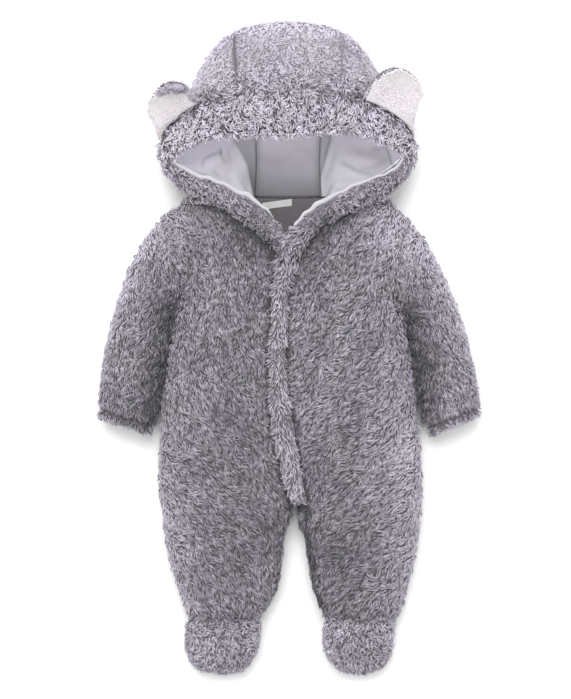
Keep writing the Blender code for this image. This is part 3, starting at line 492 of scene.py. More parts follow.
def hood_slope(t, k):
    """The direction from the hood's outside into the hood."""
    e = 0.02
    last = len(HOOD)
    dk = hood_surface(t, np.clip(k + e, 0, last)) - hood_surface(t, np.clip(k - e, 0, last))
    dt = hood_surface(np.clip(t + e, -1, 1), k) - hood_surface(np.clip(t - e, -1, 1), k)
    n = np.cross(dk, dt)
    return n / np.maximum(np.linalg.norm(n, axis=-1, keepdims=True), 1e-9)


def hood_inward(t, k):
    n = hood_slope(t, k)
    sewn = smooth(1 - k / 0.35)[..., None]
    return n + (-joint_normal(t * BAND_TO_HOOD) - n) * sewn


def hood_point(t, k, q=0.0):
    """A point in the hood's wall, q deep."""
    t, k = np.broadcast_arrays(np.asarray(t, float), np.asarray(k, float))
    return hood_surface(t, k) + hood_inward(t, k) * np.asarray(q, float)[..., None]


def lining_surface(t, k):
    """A point of the lining's visible face. k: the band's inner edge 0, then the rows of LINING_ROWS."""
    t, k = np.broadcast_arrays(np.asarray(t, float), np.asarray(k, float))
    first = band_point(two_way(LINING_AT_BAND), np.full(2 * len(LINING_AT_BAND) - 1, 0.03), BAND_THICK + 0.5 + LINING)
    rows = np.array([first] + [both_sides(r) for r in LINING_ROWS.values()])
    at_k = hermite(np.arange(len(rows)), rows.reshape(len(rows), -1), k.reshape(-1)).reshape(-1, rows.shape[1], 3)
    p = across(at_k, t, LINING_STATIONS)
    p[..., 2] = np.maximum(p[..., 2], 10.2)
    return p


def lining_point(t, k, q=0.0):
    """A point of the lining, q deep below its visible face."""
    t, k = np.broadcast_arrays(np.asarray(t, float), np.asarray(k, float))
    e = 0.02
    last = len(LINING_ROWS)
    dk = lining_surface(t, np.clip(k + e, 0, last)) - lining_surface(t, np.clip(k - e, 0, last))
    dt = lining_surface(np.clip(t + e, -1, 1), k) - lining_surface(np.clip(t - e, -1, 1), k)
    n = np.cross(dt, dk)
    n /= np.maximum(np.linalg.norm(n, axis=-1, keepdims=True), 1e-9)
    return lining_surface(t, k) + n * np.asarray(q, float)[..., None]


def ear_point(side, a, b, q=0.0):
    """A point of an ear. a: along its base, b: from the base to the tip, q: towards its front."""
    a, b = np.broadcast_arrays(np.asarray(a, float), np.asarray(b, float))
    sign = -1.0 if side == "right" else 1.0
    t0, t1 = EAR_BASE[side]
    foot = lambda s: hood_surface(t0 + (t1 - t0) * s, np.full(np.shape(s), 0.2))
    base = foot(a)
    p0, p1 = foot(np.array(0.0)), foot(np.array(1.0))
    mid = (p0 + p1) / 2
    side_way = (p1 - p0) / np.linalg.norm(p1 - p0)
    up = np.array(EAR_TIP[side]) - mid
    up = up - side_way * np.dot(up, side_way)
    height = np.linalg.norm(up)
    up /= height
    front = np.cross(side_way, up) * sign
    front = front if front[2] > 0 else -front
    width = np.sqrt(np.clip(1 - b**2.6, 0, 1)) * (1 - EAR_NARROW[side] * np.maximum(2 * a - 1, 0) * np.sin(math.pi * np.clip(b * 1.15, 0, 1)))
    lean = np.dot(np.array(EAR_TIP[side]) - mid, side_way)
    flat = mid + side_way * ((a - 0.5) * np.linalg.norm(p1 - p0) * width + lean * b)[..., None] + up * (height * b)[..., None]
    hold = (1 - smooth(b / 0.35))[..., None]
    middle = flat + (base - (mid + side_way * ((a - 0.5) * np.linalg.norm(p1 - p0))[..., None])) * hold
    cup = EAR_CUP * (1 - (2 * a - 1) ** 2) * np.sin(math.pi * np.clip(b, 0, 1)) ** 0.8
    depth = np.asarray(q, float) + EAR_BACK
    # at its base the ear spreads over the band instead of standing square to itself
    at = (t0 + (t1 - t0) * a) * BAND_TO_HOOD
    on_band = band_curve(BAND_RIM, at) - band_curve(BAND_EDGE, at)
    on_band /= np.linalg.norm(on_band, axis=-1, keepdims=True)
    sewn = on_band * depth[..., None] + joint_normal(at) * (2.6 + 1.5 * a**4 + 0.42 * depth)[..., None]
    return middle + sewn * hold + front * (depth - cup + 3.0)[..., None] * (1 - hold)


def front_at(x, y, q=0.0):
    """The point of the front under a place in plan, for places near its middle, q deep in its wall."""
    x, y = np.broadcast_arrays(np.asarray(x, float), np.asarray(y, float))
    inner = table(BODY, np.minimum(y, PIT_Y))
    is_right = x < (inner[..., 1] + inner[..., 2]) / 2
    found = []
    for side in ("right", "left"):
        u, v = np.ones(x.shape), np.ones(x.shape)
        for _ in range(4):
            low, high = np.zeros(x.shape), np.full(x.shape, 2.0)
            for _ in range(24):
                v = (low + high) / 2
                below = body_point(side, "front", u, v)[..., 1] < y
                low, high = np.where(below, v, low), np.where(below, high, v)
            low, high = np.full(x.shape, 0.3), np.ones(x.shape)
            for _ in range(22):
                u = (low + high) / 2
                at = body_point(side, "front", u, v)[..., 0]
                short = at < x if side == "right" else at > x
                low, high = np.where(short, u, low), np.where(short, high, u)
        found.append(body_point(side, "front", u, v, q))
    return np.where(is_right[..., None], found[0], found[1])


# ---------------------------------------------------------------- sizes of the looks, in millimetres
SHELL_OUT, SHELL_IN = 5.2, 8.0      # the ground cloth's two faces, as depths in the fleece wall
HOOD_SHELL = (4.2, 6.6)             # the same in the hood's wall, which is thinner
BAND_SHELL = (3.0, 5.6)
PILE_TOP = 1.66                     # spacing of the locks where they show from above
PILE_UNDER = 3.6                    # and on the underside

# Which way the pile lies on the front, in degrees in plan from +X, from each side seam to the middle.
COMB_COLUMNS = ("y", "right_side", "right_mid", "right_inner", "left_inner", "left_mid", "left_side")
COMB = (
    (-330, -80, -95, -125, -60, -85, -100),
    (-290, -62, -60, -115, -72, -150, -108),
    (-240, -52, -48, -98, -80, -146, -128),
    (-170, -38, -34, -66, -105, -148, -138),
    (-110, -42, -38, -62, -130, -145, -136),
    (-75, -80, -62, -64, -138, -142, -108),
    (-20, -98, -84, -78, -132, -137, -82),
    (40, -96, -90, -88, -120, -130, -92),
    (100, -66, -82, -92, -108, -121, -112),
    (190, -60, -72, -84, -98, -112, -118),
)


# ---------------------------------------------------------------- small helpers
def steady(seed):
    return np.random.default_rng(seed)


class Ripple:
    """Smooth noise of one size: a sum of waves in many directions, about -1 to 1."""

    def __init__(self, seed, size, waves=14):
        rng = steady(seed)
        way = rng.normal(size=(waves, 3))
        way /= np.linalg.norm(way, axis=1, keepdims=True)
        self.k = way * (2 * math.pi / (size * rng.uniform(0.7, 1.5, waves)))[:, None]
        self.phase = rng.uniform(0, 2 * math.pi, waves)
        self.gain = math.sqrt(2.0 / waves) / 1.4

    def __call__(self, p):
        flat = p.reshape(-1, 3)
        return (np.sin(flat @ self.k.T + self.phase).sum(1) * self.gain).reshape(p.shape[:-1])


def hash_of(name):
    """A number of its own for each name, the same in every run."""
    return sum((i + 3) * ord(c) for i, c in enumerate(name)) % 997


def unit(v):
    return v / np.maximum(np.linalg.norm(v, axis=-1, keepdims=True), 1e-9)


def put(name, verts, faces, materials, smooth_faces=True, face_looks=None):
    """A mesh object from points in millimetres."""
    mesh = bpy.data.meshes.new(name)
    verts = np.ascontiguousarray(verts, np.float32) * np.float32(0.001)
    faces = np.ascontiguousarray(faces, np.int32)
    count, size = faces.shape
    mesh.vertices.add(len(verts))
    mesh.vertices.foreach_set("co", verts.ravel())
    mesh.loops.add(count * size)
    mesh.loops.foreach_set("vertex_index", faces.ravel())
    mesh.polygons.add(count)
    mesh.polygons.foreach_set("loop_start", np.arange(count, dtype=np.int32) * size)
    if face_looks is not None:
        mesh.polygons.foreach_set("material_index", np.ascontiguousarray(face_looks, np.int32))
    mesh.update(calc_edges=True)
    if smooth_faces:
        mesh.shade_smooth()
    for m in materials:
        mesh.materials.append(m)
    thing = bpy.data.objects.new(name, mesh)
    bpy.context.scene.collection.objects.link(thing)
    return thing


def give(mesh, name, kind, values):
    made = mesh.attributes.new(name, kind, "POINT")
    made.data.foreach_set("vector" if kind == "FLOAT_VECTOR" else "value", np.ascontiguousarray(values, np.float32).ravel())


def shell(name, outer, inner, materials, ring=False, extra=None):
    """A closed shell between two grids of points. The outer face takes the first material, the rest the last."""
    rows, columns = outer.shape[:2]
    count = rows * columns
    index = np.arange(count).reshape(rows, columns)
    last = columns if ring else columns - 1
    a = index[:-1, :last]
    b = np.roll(index, -1, 1)[:-1, :last]
    c = np.roll(index, -1, 1)[1:, :last]
    d = index[1:, :last]
    top = np.stack([a, b, c, d], -1).reshape(-1, 4)
    low = np.stack([a, d, c, b], -1).reshape(-1, 4) + count
    edge = []
    e0, e1 = index[0, :last], np.roll(index, -1, 1)[0, :last]
    edge.append(np.stack([e1, e0, e0 + count, e1 + count], -1))
    e0, e1 = index[-1, :last], np.roll(index, -1, 1)[-1, :last]
    edge.append(np.stack([e0, e1, e1 + count, e0 + count], -1))
    if not ring:
        e0, e1 = index[:-1, 0], index[1:, 0]
        edge.append(np.stack([e0, e1, e1 + count, e0 + count], -1))
        e0, e1 = index[:-1, -1], index[1:, -1]
        edge.append(np.stack([e1, e0, e0 + count, e1 + count], -1))
    edge = np.concatenate(edge)
    faces = np.concatenate([top, low, edge])
    looks = np.zeros(len(faces), int)
    looks[len(top):] = len(materials) - 1
    points = np.concatenate([outer.reshape(-1, 3), inner.reshape(-1, 3)])
    p = points[faces]
    volume = np.einsum("ij,ij->i", np.cross(p[:, 0], p[:, 1]), p[:, 2]).sum() + np.einsum("ij,ij->i", np.cross(p[:, 0], p[:, 2]), p[:, 3]).sum()
    if volume < 0:
        faces = faces[:, ::-1]
    return put(name, points, faces, materials, face_looks=looks)


# ---------------------------------------------------------------- materials
def material(name, colour, roughness, sheen=0.0, sheen_roughness=0.5):
    made = bpy.data.materials.new(name)
    made.use_nodes = True
    shader = made.node_tree.nodes["Principled BSDF"]
    shader.inputs["Base Color"].default_value = (*colour, 1)
    shader.inputs["Roughness"].default_value = roughness
    shader.inputs["Specular IOR Level"].default_value = 0.25
    shader.inputs["Sheen Weight"].default_value = sheen
    shader.inputs["Sheen Roughness"].default_value = sheen_roughness
    return made


def node(tree, kind, **values):
    made = tree.nodes.new(kind)
    for key, value in values.items():
        if hasattr(made, key):
            setattr(made, key, value)
        else:
            made.inputs[key].default_value = value
    return made


def mixed(tree, kind, factor, a, b):
    """A colour mix; a and b are colours or sockets."""
    made = tree.nodes.new("ShaderNodeMix")
    made.data_type = "RGBA"
    made.blend_type = kind
    for socket, value in ((made.inputs[0], factor), (made.inputs[6], a), (made.inputs[7], b)):
        if hasattr(value, "is_output"):
            tree.links.new(value, socket)
        else:
            socket.default_value = value
    return made.outputs[2]


def ranged(tree, value, low, high, to_low, to_high):
    made = tree.nodes.new("ShaderNodeMapRange")
    tree.links.new(value, made.inputs[0])
    for i, x in enumerate((low, high, to_low, to_high)):
        made.inputs[i + 1].default_value = x
    return made.outputs[0]


def grey(x):
    return (x, x, x, 1)


def noise_at(tree, scale, detail=2.0, vector=None):
    made = node(tree, "ShaderNodeTexNoise")
    made.inputs["Scale"].default_value = scale
    made.inputs["Detail"].default_value = detail
    if vector is None:
        vector = node(tree, "ShaderNodeTexCoord").outputs["Object"]
    tree.links.new(vector, made.inputs["Vector"])
    return made.outputs["Fac"]


def pile_material(name, root, tip, tint=(1.0, 1.0, 1.0), sheen=0.25, spread=(0.74, 1.20), fine_spread=(0.84, 1.12)):
    """Locks: dark at the root, as painted shade deep in the pile, and light at the tip, each a little lighter or darker
    by its tone, which carries painted light and shade, with fine fibres along it.
    """
    made = material(name, tip, 0.86, sheen, 0.45)
    tree = made.node_tree
    shader = tree.nodes["Principled BSDF"]
    shader.inputs["Sheen Tint"].default_value = (*tint, 1)
    along = node(tree, "ShaderNodeAttribute", attribute_name="along").outputs["Fac"]
    tone = node(tree, "ShaderNodeAttribute", attribute_name="tone").outputs["Fac"]
    strand = node(tree, "ShaderNodeAttribute", attribute_name="strand").outputs["Vector"]
    ramp = node(tree, "ShaderNodeValToRGB")
    tree.links.new(along, ramp.inputs[0])
    stops = ramp.color_ramp.elements
    stops[0].position, stops[0].color = 0.12, (*root, 1)
    stops[1].position, stops[1].color = 0.95, (*tip, 1)
    middle = stops.new(0.5)
    middle.color = (*[r + (t - r) * 0.62 for r, t in zip(root, tip)], 1)
    fibres = noise_at(tree, 1.0, 1.0, strand)
    shade = ranged(tree, tone, 0.0, 1.0, *spread)
    shade_colour = node(tree, "ShaderNodeCombineColor")
    for i in range(3):
        tree.links.new(shade, shade_colour.inputs[i])
    colour = mixed(tree, "MULTIPLY", 1.0, ramp.outputs[0], shade_colour.outputs[0])
    fine = ranged(tree, fibres, 0.3, 0.7, *fine_spread)
    fine_colour = node(tree, "ShaderNodeCombineColor")
    for i in range(3):
        tree.links.new(fine, fine_colour.inputs[i])
    colour = mixed(tree, "MULTIPLY", 1.0, colour, fine_colour.outputs[0])
    blotch = ranged(tree, noise_at(tree, 22.0, 2.0), 0.35, 0.65, 0.0, 1.0)
    colour = mixed(tree, "MULTIPLY", blotch, colour, (0.945, 0.93, 0.985, 1))
    tree.links.new(colour, shader.inputs["Base Color"])
    bump = node(tree, "ShaderNodeBump")
    bump.inputs["Strength"].default_value = 0.35
    bump.inputs["Distance"].default_value = 0.0004
    tree.links.new(fibres, bump.inputs["Height"])
    tree.links.new(bump.outputs[0], shader.inputs["Normal"])
    return made


def ground_material(name, colour):
    """The knitted ground under the pile: felted, and dark under the grey pile as painted shade deep between the locks.
    """
    made = material(name, colour, 0.95, 0.1)
    tree = made.node_tree
    shader = tree.nodes["Principled BSDF"]
    fine = noise_at(tree, 900.0, 3.0)
    broad = noise_at(tree, 120.0, 2.0)
    both = mixed(tree, "MIX", fine, (*[c * 0.72 for c in colour], 1), (*[c * 1.3 for c in colour], 1))
    both = mixed(tree, "MULTIPLY", broad, both, grey(0.8))
    tree.links.new(both, shader.inputs["Base Color"])
    bump = node(tree, "ShaderNodeBump")
    bump.inputs["Strength"].default_value = 0.6
    bump.inputs["Distance"].default_value = 0.0008
    tree.links.new(fine, bump.inputs["Height"])
    tree.links.new(bump.outputs[0], shader.inputs["Normal"])
    return made


def jersey_material(name, colour, roughness=0.62, sheen=0.18, shaded_by_place=False):
    """Fine smooth jersey: wales half a millimetre apart, with faint clouds of tone."""
    made = material(name, colour, roughness, sheen, 0.4)
    tree = made.node_tree
    shader = tree.nodes["Principled BSDF"]
    place = node(tree, "ShaderNodeTexCoord").outputs["Object"]
    wales = node(tree, "ShaderNodeTexWave")
    wales.wave_type = "BANDS"
    wales.bands_direction = "X"
    wales.inputs["Scale"].default_value = 420.0
    wales.inputs["Distortion"].default_value = 1.2
    wales.inputs["Detail"].default_value = 2.0
    wales.inputs["Detail Scale"].default_value = 2.0
    tree.links.new(place, wales.inputs["Vector"])
    courses = node(tree, "ShaderNodeTexWave")
    courses.wave_type = "BANDS"
    courses.bands_direction = "Y"
    courses.inputs["Scale"].default_value = 520.0
    courses.inputs["Distortion"].default_value = 1.2
    tree.links.new(place, courses.inputs["Vector"])
    knit = node(tree, "ShaderNodeMath", operation="MULTIPLY")
    tree.links.new(wales.outputs["Fac"], knit.inputs[0])
    tree.links.new(courses.outputs["Fac"], knit.inputs[1])
    clouds = ranged(tree, noise_at(tree, 26.0, 3.0), 0.3, 0.7, 0.0, 1.0)
    base = mixed(tree, "MIX", clouds, (*[c * 0.94 for c in colour], 1), (*[min(1, c * 1.04) for c in colour], 1))
    base = mixed(tree, "MULTIPLY", ranged(tree, knit.outputs[0], 0, 1, 0.0, 0.12), base, grey(0.7))
    if shaded_by_place:
        shade = node(tree, "ShaderNodeAttribute", attribute_name="shade").outputs["Fac"]
        shade_colour = node(tree, "ShaderNodeCombineColor")
        for i in range(3):
            tree.links.new(shade, shade_colour.inputs[i])
        base = mixed(tree, "MULTIPLY", 1.0, base, shade_colour.outputs[0])
    tree.links.new(base, shader.inputs["Base Color"])
    bump = node(tree, "ShaderNodeBump")
    bump.inputs["Strength"].default_value = 0.25
    bump.inputs["Distance"].default_value = 0.0002
    tree.links.new(knit.outputs[0], bump.inputs["Height"])
    tree.links.new(bump.outputs[0], shader.inputs["Normal"])
    return made


FLEECE_TIP = (0.500, 0.470, 0.525)


def shaded(colour, by):
    return tuple(min(c * by, 0.97) for c in colour)


# The pile's roots are a darker copy of its tip colour, as painted shade deep in the pile. The hood, band, placket and
# feet take lighter copies of the same fleece, as painted light.
pile_look = pile_material("fleece_pile", shaded(FLEECE_TIP, 0.31), FLEECE_TIP, (0.97, 0.94, 1.0), spread=(0.30, 1.70))
hood_pile_look = pile_material("hood_pile", shaded(FLEECE_TIP, 0.68), shaded(FLEECE_TIP, 1.22), (0.97, 0.94, 1.0), spread=(0.30, 1.70))
edge_look = pile_material("edge_fleece_pile", shaded(FLEECE_TIP, 0.60), shaded(FLEECE_TIP, 1.34), (0.97, 0.94, 1.0), spread=(0.30, 1.70))
placket_look = pile_material("placket_pile", shaded(FLEECE_TIP, 0.52), shaded(FLEECE_TIP, 1.10), (0.97, 0.94, 1.0), spread=(0.30, 1.70))
foot_look = pile_material("foot_pile", shaded(FLEECE_TIP, 0.58), shaded(FLEECE_TIP, 1.18), (0.97, 0.94, 1.0), spread=(0.30, 1.70))
white_look = pile_material("white_pile", (0.90, 0.855, 0.865), (0.925, 0.885, 0.895), (1.0, 0.98, 0.98), 0.15, spread=(0.94, 1.05), fine_spread=(0.975, 1.02))
ground_look = ground_material("fleece_ground", (0.20, 0.188, 0.21))
hood_ground = ground_material("hood_ground", (0.36, 0.34, 0.375))
white_ground = ground_material("white_ground", (0.94, 0.90, 0.905))
lining_look = jersey_material("hood_jersey", (0.875, 0.85, 0.925), shaded_by_place=True)
centre_look = jersey_material("inner_jersey", (0.58, 0.56, 0.615))
# the middle of the hood's lining is a darker copy of the same jersey: painted shade under the crown
middle_look = jersey_material("centre_jersey", (0.58, 0.56, 0.615), shaded_by_place=True)
piping_look = jersey_material("piping_jersey", (0.56, 0.545, 0.59))
# the lining of the back is far darker than the hood's lining: painted shade deep in the neck opening
back_look = jersey_material("back_jersey", (0.135, 0.125, 0.135), 0.7, 0.1)
label_look = material("woven_label", (0.56, 0.565, 0.555), 0.5)
thread_look = material("thread", (0.17, 0.165, 0.18), 0.7, 0.1)


# ---------------------------------------------------------------- pile
def scatter(place, spacing, seed, cells=64, tries=4.5):
    """Places for locks on a surface place(u, v), even over its area and in no pattern: returns u, v."""
    s = np.linspace(0, 1, cells + 1)
    uu, vv = np.meshgrid(s, s)
    p = place(uu, vv)
    a, b = p[1:, 1:] - p[:-1, :-1], p[1:, :-1] - p[:-1, 1:]
    area = (np.linalg.norm(np.cross(a, b), axis=-1) / 2).ravel()
    rng = steady(seed)
    number = int(tries * area.sum() / spacing**2)
    cell = np.searchsorted(np.cumsum(area), rng.uniform(0, area.sum(), number))
    cell = np.minimum(cell, cells * cells - 1)
    u = (cell % cells + rng.uniform(0, 1, number)) / cells
    v = (cell // cells + rng.uniform(0, 1, number)) / cells
    points = place(u, v)
    tree = KDTree(number)
    for i, point in enumerate(points.tolist()):
        tree.insert(point, i)
    tree.balance()
    free = bytearray(b"\x01") * number
    chosen = []
    reach = 0.80 * spacing
    for i, point in enumerate(points.tolist()):
        if free[i]:
            chosen.append(i)
            for _, j, _ in tree.find_range(point, reach):
                free[j] = 0
    chosen = np.array(chosen)
    return u[chosen], v[chosen]


def frame_at(place, u, v):
    """Point, outward-facing guess and the two tangents at each place."""
    e = 0.004
    u0, u1 = np.clip(u - e, 0, 1), np.clip(u + e, 0, 1)
    v0, v1 = np.clip(v - e, 0, 1), np.clip(v + e, 0, 1)
    pu = place(u1, v) - place(u0, v)
    pv = place(u, v1) - place(u, v0)
    return place(u, v), unit(np.cross(pu, pv)), pu, pv


swirl_a, swirl_b = Ripple(11, 34.0), Ripple(12, 13.0)
height_noise, tone_noise, bend_noise = Ripple(13, 7.5), Ripple(14, 42.0), Ripple(15, 5.5)
curl_noise, clump_noise = Ripple(16, 9.0), Ripple(17, 15.0)


def tufts_of(p, size, seed):
    """Neighbouring locks fall into tufts: the number of each lock's tuft, and the tufts' middles."""
    points = p.tolist()
    count = len(points)
    tree = KDTree(count)
    for i, point in enumerate(points):
        tree.insert(point, i)
    tree.balance()
    free = bytearray(b"\x01") * count
    middles = []
    for i in steady(seed).permutation(count).tolist():
        if free[i]:
            middles.append(i)
            for _, j, _ in tree.find_range(points[i], size):
                free[j] = 0
    near = KDTree(len(middles))
    for k, i in enumerate(middles):
        near.insert(points[i], k)
    near.balance()
    return np.array([near.find(point)[1] for point in points]), p[middles]


def locks(name, p, n, way, look, seed, length=9.8, width=1.75, lift=3.9, rings=1, wild=0.17, curl=0.7, sink=0.4, tone_shift=None, spread_tone=0.20, spread_at=1.0, droop=0.0, size_at=None, lift_at=None, floor_clear=0.4, tuft=5.5, pinch=0.55):
    """A mesh of curled locks: p base points, n normals, way the comb direction of each."""
    rng = steady(seed)
    count = len(p)
    d = way - n * np.einsum("ij,ij->i", way, n)[:, None]
    weak = np.linalg.norm(d, axis=1) < 1e-3
    d[weak] = np.cross(n[weak], np.array([1.0, 0.3, 0.2]))
    d = unit(d)
    s = np.cross(n, d)
    turn = (swirl_a(p) * 0.34 + swirl_b(p) * 0.30 + curl_noise(p) * 0.35 * curl) + rng.normal(0, wild, count)
    tuft_tone, tuft_bend, off, beside = 0.0, 0.0, np.zeros(count), np.full(count, 0.5)
    if tuft:
        which, middles = tufts_of(p, tuft, seed + 1)
        own = steady(seed + 2).normal(size=(3, len(middles)))[:, which]
        turn = turn + 0.9 * wild * own[0]
        tuft_tone, tuft_bend = 0.035 * own[1], 0.55 * own[2]
    c, sn = np.cos(turn)[:, None], np.sin(turn)[:, None]
    d, s = d * c + s * sn, s * c - d * sn
    if tuft:
        off = np.einsum("ij,ij->i", p - middles[which], s)
        beside = np.clip(np.abs(off) / (0.5 * tuft), 0, 1.3)
    bump = height_noise(p)
    size = np.clip(1 + 0.16 * rng.normal(size=count) + 0.14 * bump, 0.55, 1.5)
    if size_at is not None:
        size = size * size_at
    L = length * size
    H = lift * np.clip(1 + 0.20 * rng.normal(size=count) + 0.24 * bump, 0.45, 1.45)
    if size_at is not None:
        H = H * np.minimum(size_at, 1.0)
    if lift_at is not None:
        H = H * lift_at
    H = H * (1.11 - 0.22 * beside)
    W = width * np.clip(1 + 0.15 * rng.normal(size=count), 0.6, 1.4)
    side_bend = (bend_noise(p) * 0.9 + tuft_bend + rng.normal(0, 0.25 if tuft else 0.5, count)) * curl
    pull = -s * (off * pinch)[:, None]
    stations = (0.0, 0.46, 1.0) if rings == 1 else (0.0, 0.34, 0.70, 1.0)
    rise = {0.0: 0.0, 0.46: 0.86, 0.34: 0.72, 0.70: 1.08, 1.0: 0.92 - droop}
    fat = {0.46: 1.0, 0.34: 0.92, 0.70: 0.80}
    bow = {0.0: 0.0, 0.46: 0.9, 0.34: 0.8, 0.70: 0.7, 1.0: -0.7}
    base = p - n * sink
    centres = [base + d * (L * f * (1.0 if f else 0))[:, None] + n * (H * rise[f])[:, None] + s * (side_bend * bow[f])[:, None] + pull * f**1.3 for f in stations]
    twist = rng.uniform(-0.5, 0.5, count)
    columns = []
    for k, f in enumerate(stations):
        if f in (0.0, 1.0):
            columns.append(centres[k][:, None, :])
            continue
        axis = unit(centres[k + 1] - centres[k - 1])
        up = unit(n - axis * np.einsum("ij,ij->i", n, axis)[:, None])
        across_lock = np.cross(axis, up)
        ring = []
        for j, angle in enumerate((90.0, 215.0, 325.0)):
            a = math.radians(angle) + twist
            ring.append(centres[k] + (across_lock * (np.cos(a) * 0.60)[:, None] + up * (np.sin(a) * 0.42)[:, None]) * (W * fat[f])[:, None])
        columns.append(np.stack(ring, 1))
    verts = np.concatenate(columns, 1)
    verts[..., 2] = np.maximum(verts[..., 2], floor_clear)
    per = verts.shape[1]
    m = len(stations) - 2
    tris = []
    uv = []
    y_at = np.linspace(0.06, 0.94, m + 2)
    for j in range(3):
        xl, xr = 0.04 + j * 0.31, 0.04 + j * 0.31 + 0.28
        xm = (xl + xr) / 2
        a0, b0 = 1 + j, 1 + (j + 1) % 3
        tris.append((0, b0, a0)); uv.append(((xm, y_at[0]), (xr, y_at[1]), (xl, y_at[1])))
        for k in range(m - 1):
            a1, b1 = a0 + 3 * k, b0 + 3 * k
            a2, b2 = a1 + 3, b1 + 3
            tris.append((a1, b1, b2)); uv.append(((xl, y_at[k + 1]), (xr, y_at[k + 1]), (xr, y_at[k + 2])))
            tris.append((a1, b2, a2)); uv.append(((xl, y_at[k + 1]), (xr, y_at[k + 2]), (xl, y_at[k + 2])))
        at, bt = a0 + 3 * (m - 1), b0 + 3 * (m - 1)
        tris.append((at, bt, per - 1)); uv.append(((xl, y_at[m]), (xr, y_at[m]), (xm, y_at[m + 1])))
    tris, uv = np.array(tris), np.array(uv)
    # the rings run so that faces look outward
    sample = verts[:200]
    t = sample[:, tris]
    volume = np.einsum("ijk,ijk->i", np.cross(t[:, :, 0], t[:, :, 1]), t[:, :, 2]).sum()
    if volume < 0:
        tris, uv = tris[:, ::-1], uv[:, ::-1]
    faces = (tris[None] + (np.arange(count) * per)[:, None, None]).reshape(-1, 3)
    thing = put(name, verts.reshape(-1, 3), faces, [look])
    mesh = thing.data
    along = np.concatenate([[0.0]] + [[f] * 3 for f in stations[1:-1]] + [[1.0]])
    # tone: random for each lock and tuft, with painted light on the taller locks and painted shade at the edges of each
    # tuft
    tone = 0.5 + (0.42 * spread_tone * rng.normal(size=count) + 0.085 * clump_noise(p) + 0.075 * bump + tuft_tone + 0.09 * (0.5 - beside)) * spread_at + 0.045 * tone_noise(p)
    if tone_shift is not None:
        tone = tone + tone_shift
    give(mesh, "along", "FLOAT", np.tile(along, count))
    give(mesh, "tone", "FLOAT", np.repeat(np.clip(tone, 0, 1), per))
    around = np.concatenate([[1.0]] + [[0.0, 1.0, 2.0]] * m + [[1.0]])
    seeds = np.repeat(rng.uniform(0, 90, count), per)
    give(mesh, "strand", "FLOAT_VECTOR", np.stack([np.tile(around, count) * 2.6 + seeds, np.tile(along, count) * 1.2, seeds], -1))
    cells = int(math.ceil(math.sqrt(count)))
    layer = mesh.uv_layers.new(name="OFBake")
    cell = np.stack([np.arange(count) % cells, np.arange(count) // cells], -1)
    coords = (uv.reshape(1, -1, 2) + cell[:, None, :]) / cells
    layer.data.foreach_set("uv", np.ascontiguousarray(coords, np.float32).ravel())
    return thing


def plan_way(angle):
    a = np.radians(angle)
    return np.stack([np.cos(a), np.sin(a), np.zeros_like(a)], -1)


def comb_body(side, p, u):
    """The comb direction on a body panel."""
    rows = np.array(COMB, float)
    found = hermite(rows[:, 0], rows[:, 1:], np.clip(p[..., 1], -330, 190))
    three = found[..., 0:3] if side == "right" else found[..., [5, 4, 3]]
    near, far = smooth(u * 2), smooth(u * 2 - 1)
    return three[..., 0] + (three[..., 1] - three[..., 0]) * near + (three[..., 2] - three[..., 1]) * far


made = {}


def finish_fleece(name, body, pile):
    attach(body, "root")
    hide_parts(name)
    piles = pile if isinstance(pile, list) else [pile]
    for one in piles:
        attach(one, "root")
        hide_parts(name)
    made[name] = (body, pile)


def outward(n, p, centre):
    """Turns normals away from a point or line inside the piece."""
    flip = np.einsum("ij,ij->i", n, p - centre) < 0
    n = n.copy()
    n[flip] *= -1
    return n


# ---------------------------------------------------------------- body panels
# Soft troughs in the front: where each starts and ends in plan, its half width and its depth.
TROUGH_COLUMNS = ("x0", "y0", "x1", "y1", "half_width", "depth")
TROUGHS = (
    (-128.0, 60.0, -118.0, 128.0, 7.0, 3.4),
    (-133.0, 40.0, -120.0, 20.0, 6.0, 2.0),
    (123.0, 58.0, 116.0, 112.0, 7.0, 3.0),
    (128.0, 34.0, 112.0, 2.0, 6.0, 2.2),
    (-30.0, -95.0, -92.0, -70.0, 9.0, 1.6),
    (30.0, -112.0, 104.0, -84.0, 9.0, 1.8),
    (44.0, -142.0, 128.0, -128.0, 7.0, 1.5),
    (-24.0, -150.0, -86.0, -168.0, 9.0, 1.6),
    (-16.0, -205.0, -60.0, -236.0, 8.0, 1.8),
    (14.0, -208.0, 70.0, -232.0, 8.0, 1.8),
    (-70.0, 132.0, -40.0, 96.0, 8.0, 1.4),
    (80.0, 128.0, 56.0, 84.0, 9.0, 1.4),
)


def troughs_at(x, y, rows=TROUGHS):
    depth = np.zeros(np.shape(x))
    for x0, y0, x1, y1, half, deep in rows:
        ax, ay = x1 - x0, y1 - y0
        size = math.hypot(ax, ay)
        t = np.clip(((x - x0) * ax + (y - y0) * ay) / size**2, 0, 1)
        off = np.hypot(x - x0 - t * ax, y - y0 - t * ay)
        depth = np.maximum(depth, deep * np.exp(-((off / half) ** 2)) * (1 - 0.6 * np.abs(2 * t - 1) ** 2))
    return depth


